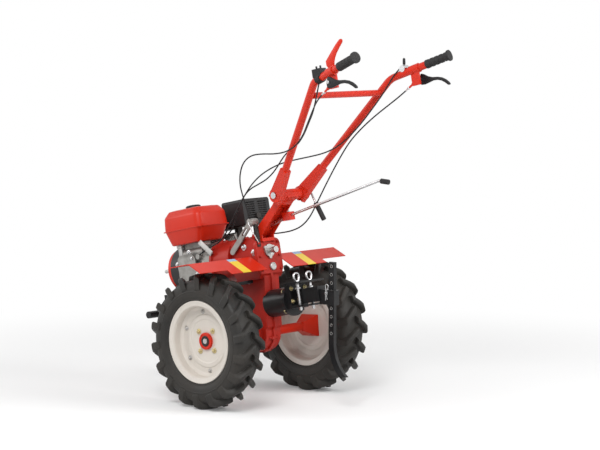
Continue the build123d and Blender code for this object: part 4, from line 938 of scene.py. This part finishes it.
clip_pin = bar((clip_x, -pin_half, pin_z), (clip_x, pin_half, pin_z), clip_pin_radius, 24)
rounded(clip_pin, pin_edge)
add_to_machine(clip_pin, "coulter_clip_pin", "bright_steel")

# %% [markdown]
# ## Hitch pins
# Two drop pins lock the hitch. Each is a zinc rod with a collar, and its handle is a rod bent into a
# teardrop loop that ends in the pin's head. The rod is turned, and the loop is one smooth closed wire
# that is narrow at its foot.

# %% Hitch pins
pin_x, pin_half_gap, pin_radius, pin_foot_z, pin_head_z = -0.300, 0.040, 0.0070, 0.068, 0.192
pin_profile = [
    (pin_foot_z, pin_radius * 0.7), (pin_foot_z + 0.004, pin_radius), (0.160, pin_radius), (0.1605, 0.0115),
    (0.167, 0.0118), (0.1685, 0.0105), (0.1690, pin_radius), (pin_head_z, pin_radius),
    (pin_head_z + 0.006, 0.0055),
]
pin_loop = [
    (0.0, 0.190), (0.007, 0.194), (0.0150, 0.206), (0.0165, 0.220), (0.010, 0.2290), (-0.010, 0.2290),
    (-0.0165, 0.220), (-0.0150, 0.206), (-0.007, 0.194),
]
for side, hand in sides:
    middle = Vector((pin_x, hand * pin_half_gap, 0))
    add_to_machine(turned(pin_profile, 32), f"hitch_pin_{side}", "bright_steel",
                   place=leaning @ Matrix.Translation(middle), stands_for=("hitch_pins",))
    loop = [middle + Vector((0, y, z)) for y, z in pin_loop]
    wire(f"hitch_pin_loop_{side}", loop, loop_radius, closed=True)

# %% [markdown]
# ## Coulter holes
# The row of holes down the coulter sets its depth. Their edges are worn bright where the pin goes in and
# out, so each has a thin chamfered ring of bare steel on both faces.

# %% Worn rims of the holes
bar_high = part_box("coulter")[1]
hole_x, first_hole_z, hole_pitch, hole_radius = -0.3043, 0.33037, 0.036, 0.005
top_margin = 0.012
hole_count = int((bar_high.z - top_margin - first_hole_z) / hole_pitch) + 1
worn_profile = [
    (0.0, hole_radius), (0.0004, hole_radius), (0.0006, 0.0058), (0.0004, 0.0070), (0.0, 0.0072),
    (0.0, hole_radius),
]
worn_places = [
    aimed((hole_x, hand * bar_high.y, first_hole_z + hole_pitch * i), (0, hand, 0))
    for i in range(hole_count) for hand in (1, -1)
]
worn_rims = copied(turned(worn_profile, 32, ring=True), worn_places)
add_to_machine(worn_rims, "coulter_hole_rims", "plain_steel", "coulter")

# %% [markdown]
# ## Small parts of the engine
# Under the tank an engine of this kind is full of small parts: the side cover and its bolts, the plate of
# the speed governor on its foot, the fuel tap and its hose, the bracket that carries the tank, the oil
# filler, and the plug's lead.

# %% Engine details
crank_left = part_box("crankcase")[1].y
engine_places = [
    (0.344, 0.355), (0.262, 0.400), (0.225, 0.300), (0.330, 0.290), (0.278, 0.262), (0.2455, 0.372),
]
bolts("engine_bolts", 0.012, [((x, crank_left, z), left) for x, z in engine_places])

cover_corner, cover_edge = 0.034, 0.0016
side_cover = slab((0.285, crank_left, 0.328), (0.112, 0.010, 0.132))
round_corners(side_cover, along_y, 0.005, cover_corner, 6)
pick(side_cover, "FACE", looks_along(along_y))
bpy.ops.mesh.inset(thickness=0.008, depth=-0.0022)
bpy.ops.mesh.inset(thickness=0.012, depth=0.0016)
done()
rounded(side_cover, cover_edge)
add_to_machine(side_cover, "engine_side_cover", "bright_aluminium", place=leaning)

governor_run, governor_rise, governor_edge, foot_edge = 0.134 - 0.192, 0.380 - 0.436, 0.0008, 0.002
governor_turn = (0, -math.atan2(governor_rise, governor_run), 0)
governor = slab((0.163, 0.097, 0.408), (0.094, 0.0030, 0.026), governor_turn)
edit(governor)
pick(governor, "FACE", looks_along(along_y))
bpy.ops.mesh.inset(thickness=0.004, depth=0.0016)
done()
rounded(governor, governor_edge)
add_to_machine(governor, "governor_plate", "plain_steel", place=leaning)
governor_foot = rounded(slab((0.176, 0.072, 0.421), (0.012, 0.052, 0.018), governor_turn), foot_edge)
add_to_machine(governor_foot, "governor_foot", "bright_aluminium", place=leaning)

tap_at = (0.216, 0.070, 0.448)
tap_profile = [
    (0.0, 0.0090), (0.002, 0.0105), (0.014, 0.0105), (0.016, 0.0080), (0.026, 0.0080), (0.027, 0.0060),
]
tap = joined([turned(tap_profile, 24), bar((0.0, 0.0, 0.010), (0.016, 0.014, 0.010), 0.0036)])
add_to_machine(tap, "fuel_tap", "bright_steel", place=leaning @ aimed(tap_at, downward), smooth_deg=45)
wire("fuel_hose", [
    (0.216, 0.070, 0.424), (0.216, 0.070, 0.412), (0.222, 0.060, 0.404), (0.236, 0.034, 0.408),
    (0.250, 0.000, 0.424), (0.262, -0.040, 0.446), (0.266, -0.078, 0.462),
], hose_radius, "black_plastic")
bracket = joined([
    slab((0.335, 0.078, 0.432), (0.030, 0.026, 0.012)), slab((0.335, 0.084, 0.412), (0.022, 0.005, 0.046)),
])
add_to_machine(rounded(bracket, 0.0015), "tank_bracket", "plain_steel", place=leaning)

filler_at, filler_way = (0.215, crank_left - 0.002, 0.268), (0, 1, 0.35)
filler = joined([
    turned([(0.0, 0.014), (0.010, 0.014), (0.012, 0.017), (0.022, 0.0165), (0.024, 0.014)], 32),
    slab((0, 0, 0.029), (0.022, 0.005, 0.012)),
])
add_to_machine(rounded(filler, 0.0012, 2, 40), "oil_filler", "black_plastic",
               place=leaning @ aimed(filler_at, filler_way), smooth_deg=45)
wire("plug_lead", [
    (0.396, -0.086, 0.424), (0.392, -0.118, 0.436), (0.372, -0.166, 0.430), (0.340, -0.206, 0.404),
    (0.305, -0.224, 0.372), (0.285, -0.226, 0.350),
], lead_radius, "black_plastic")

# %% [markdown]
# ## Hand levers
# The levers under the grips are black castings: a flat body at the pivot that runs out into a slender
# blade for the fingers. The red lever above the left grip is a flat blade that curves and narrows to a
# round tip. Each is cut from plate: a circle's points are set to the outline one by one, filled, extruded
# to the wall, and its edges are rounded. A turned sleeve with a collar ends the clutch's and the reverse
# gear's cable.

# %% Levers cut from plate
def cut_plate(outline, low_y, high_y, edge):
    """A plate across Y, from an outline of (x, z) points."""
    bpy.ops.object.select_all(action="DESELECT")
    bpy.ops.mesh.primitive_circle_add(vertices=len(outline), radius=1, fill_type="NGON", location=(0, 0, 0))
    plate = bpy.context.object
    for vertex, (x, z) in zip(plate.data.vertices, outline):
        vertex.co = (x, low_y, z)
    edit(plate)
    bpy.ops.mesh.extrude_region_move(TRANSFORM_OT_translate={"value": (0, high_y - low_y, 0)})
    faces_outward()
    return rounded(plate, edge, 3, 50)


hand_lever_outline = [
    (-0.540, 1.4340), (-0.556, 1.4310), (-0.576, 1.4235), (-0.600, 1.4205), (-0.628, 1.4225),
    (-0.652, 1.4205), (-0.674, 1.4130), (-0.690, 1.4030), (-0.6975, 1.3960), (-0.6955, 1.3905),
    (-0.6890, 1.3900), (-0.672, 1.3995), (-0.652, 1.4070), (-0.630, 1.4095), (-0.606, 1.4060),
    (-0.584, 1.3970), (-0.562, 1.3880), (-0.545, 1.3860), (-0.538, 1.3920), (-0.5350, 1.4040),
    (-0.5360, 1.4200),
]
lever_inner_y, lever_outer_y = 0.2905, 0.3015
pivot_x, pivot_z, pivot_inner_y = -0.545, 1.412, 0.270
pivot_profile = [(0.0, 0.0080), (0.0035, 0.0080), (0.0045, 0.0070), (0.0075, 0.0040)]
for side, hand in sides:
    low_y, high_y = sorted((hand * lever_inner_y, hand * lever_outer_y))
    lever = cut_plate(hand_lever_outline, low_y, high_y, 0.0022)
    add_to_machine(lever, f"hand_lever_{side}", "black_plastic", "handlebar", stands_for=("hand_levers",))
    add_to_machine(turned(pivot_profile, 6), f"hand_lever_bolt_{side}", "bright_steel", "handlebar",
                   aimed((pivot_x, hand * lever_outer_y, pivot_z), (0, hand, 0)))
    pin_ends = [(pivot_x, hand * y, pivot_z) for y in (pivot_inner_y, lever_outer_y - 0.002)]
    add_to_machine(bar(*pin_ends, 0.0045, 20), f"hand_lever_pin_{side}", "bright_steel", "handlebar")

blade_outline = [
    (-0.507, 1.4760), (-0.503, 1.4940), (-0.516, 1.5120), (-0.531, 1.5320), (-0.552, 1.5590),
    (-0.571, 1.5800), (-0.579, 1.5858), (-0.5865, 1.5855), (-0.5912, 1.5805), (-0.5895, 1.5720),
    (-0.573, 1.5490), (-0.560, 1.5290), (-0.5515, 1.5100), (-0.548, 1.4940), (-0.548, 1.4800),
    (-0.540, 1.4680), (-0.520, 1.4640),
]
blade = cut_plate(blade_outline, 0.2645, 0.2710, 0.0018)
add_to_machine(blade, "front_lever_blade", "red_paint", "handlebar", stands_for=("front_hand_lever",))

sleeve_profile = [
    (-0.004, 0.0046), (0.004, 0.0046), (0.0042, 0.0066), (0.0090, 0.0066), (0.0092, 0.0042), (0.020, 0.0042),
    (0.024, 0.0036),
]
for name, route in (("clutch", clutch_route), ("reverse", reverse_route)):
    start = Vector(route[0])
    way = (Vector(route[1]) - start).normalized()
    add_to_machine(turned(sleeve_profile, 6), f"adjuster_sleeve_{name}", "bright_steel", "handlebar",
                   aimed(start, way))

# %% [markdown]
# ## Throttle knob
# The throttle's arm on the right tube ends in a small knob of black plastic with a rounded nose. It is
# turned, and stands on the arm in the arm's own direction.

# %% Throttle knob
knob_at, knob_way = (-0.4787, -0.2555, 1.4705), (0.0296, 0.0, 1.0)
knob_profile = [
    (0.0, 0.0045), (0.0006, 0.0056), (0.006, 0.0062), (0.022, 0.0060), (0.0270, 0.0048), (0.0296, 0.0020),
]
add_to_machine(turned(knob_profile, 32), "throttle_knob", "black_plastic", "handlebar",
               aimed(knob_at, knob_way), smooth_deg=50)

# %% [markdown]
# ## Recoil handle and filler cap
# The engine is started by a cord that winds inside the round cover. Its handle sits against the cover's
# face, and is a short tapered grip. The tank's cap is turned, with a row of finger ribs round its side.

# %% Recoil handle and cap ribs
handle_at, handle_way = (0.436, 0.030, 0.340), (1, 0.0, -0.04)
handle_profile = [
    (0.000, 0.0060), (0.004, 0.0100), (0.012, 0.0108), (0.030, 0.0082), (0.052, 0.0075), (0.064, 0.0090),
    (0.070, 0.0070), (0.072, 0.0030),
]
add_to_machine(turned(handle_profile, 32), "recoil_handle", "plain_steel",
               place=leaning @ aimed(handle_at, handle_way), smooth_deg=50)

cap_foot_z, rib_count = 0.590, 20
cap_profile = [
    (0.000, 0.0300), (0.003, 0.0325), (0.012, 0.0330), (0.016, 0.0315), (0.0185, 0.0270), (0.0200, 0.0140),
    (0.0202, 0.0030),
]
cap_shell = turned(cap_profile, 64)
rib = rounded(slab((0.0331, 0, 0.0085), (0.0024, 0.0034, 0.0110)), 0.0007, 2, 40)
ribs = copied(rib, [Matrix.Rotation(2 * math.pi * i / rib_count, 4, "Z") for i in range(rib_count)])
add_to_machine(joined([cap_shell, ribs]), "tank_cap_ribbed", "black_plastic",
               place=leaning @ Matrix.Translation((tank_x, tank_y, cap_foot_z)), stands_for=("tank_cap",))

# %% [markdown]
# ## Floor, lamps and world
# The photograph has a plain white ground. The floor here is a real surface near the machine, so it
# catches a soft shadow, and further out it turns to plain white, as the world behind it does. That white
# shows only to the camera and in reflections, through Light Path, so no lamp is turned up for it and the
# colours stay true. Each lamp below has its place, its watts and its width.

# %% Studio
bpy.context.scene.view_settings.view_transform = "Standard"
floor_half = 14.0
floor_colour, floor_dull, floor_shine = (0.88, 0.88, 0.88, 1), 0.95, 0.1
floor_lift = 0.10
floor_fades_from, floor_white_from = 1.3, 3.2
world_strength = 0.46
lamps_aim_at = Vector((0, 0, 0.7))
lamps = {
    "key": ((-2.5, 4.5, 5.0), 250.0, 2.5), "fill": ((-5.5, -2.5, 3.5), 60.0, 3.5),
    "front": ((4.5, 3.5, 3.0), 80.0, 3.0), "rear": ((-3.6, -1.2, 2.6), 55.0, 1.6),
}


def seen_directly(tree):
    """1 for the camera, for reflections and through glass, and 0 for the light that falls on things."""
    path = tree.nodes.new("ShaderNodeLightPath").outputs
    mirror_or_eye = reckoned(tree, "ADD", path["Is Camera Ray"], path["Is Glossy Ray"])
    return reckoned(tree, "ADD", mirror_or_eye, path["Is Transmission Ray"], use_clamp=True)


def studio_floor():
    bpy.ops.object.select_all(action="DESELECT")
    bpy.ops.mesh.primitive_plane_add(size=2 * floor_half, location=(0, 0, 0))
    floor = bpy.context.object
    floor.name = "floor"
    material, tree = new_material("floor_pale")
    seen = seen_directly(tree)
    near = filled(tree, tree.nodes["Principled BSDF"], {
        "Base Color": floor_colour, "Roughness": floor_dull, "Specular IOR Level": floor_shine,
        "Emission Color": white, "Emission Strength": reckoned(tree, "MULTIPLY", seen, floor_lift),
    })
    place = tree.nodes.new("ShaderNodeTexCoord").outputs["Object"]
    reach = add_node(tree, "ShaderNodeVectorMath", {0: place}, operation="LENGTH").outputs["Value"]
    far = ramp(tree, reach, floor_fades_from, floor_white_from, interpolation_type="SMOOTHSTEP")
    plain = add_node(tree, "ShaderNodeEmission", {"Color": white, "Strength": 1.0})
    share = reckoned(tree, "MULTIPLY", far, seen)
    whole = add_node(tree, "ShaderNodeMixShader", {0: share, 1: near.outputs[0], 2: plain.outputs[0]})
    filled(tree, tree.nodes["Material Output"], {"Surface": whole.outputs[0]})
    floor.data.materials.append(material)


def area_lamp(name, place, watts, width):
    data = bpy.data.lights.new(name, "AREA")
    data.energy = watts
    data.size = width
    lamp = placed(name, data)
    lamp.location = place
    lamp.rotation_mode = "QUATERNION"
    lamp.rotation_quaternion = (lamps_aim_at - Vector(place)).to_track_quat("-Z", "Y")


studio_floor()
for name, values in lamps.items():
    area_lamp(name, *values)
world = bpy.data.worlds.new("studio")
bpy.context.scene.world = world
world.use_nodes = True
tree = world.node_tree
lit = add_node(tree, "ShaderNodeMapRange", {
    "Value": seen_directly(tree), "To Min": world_strength, "To Max": 1.0,
}).outputs["Result"]
filled(tree, tree.nodes["Background"], {"Color": white, "Strength": lit})
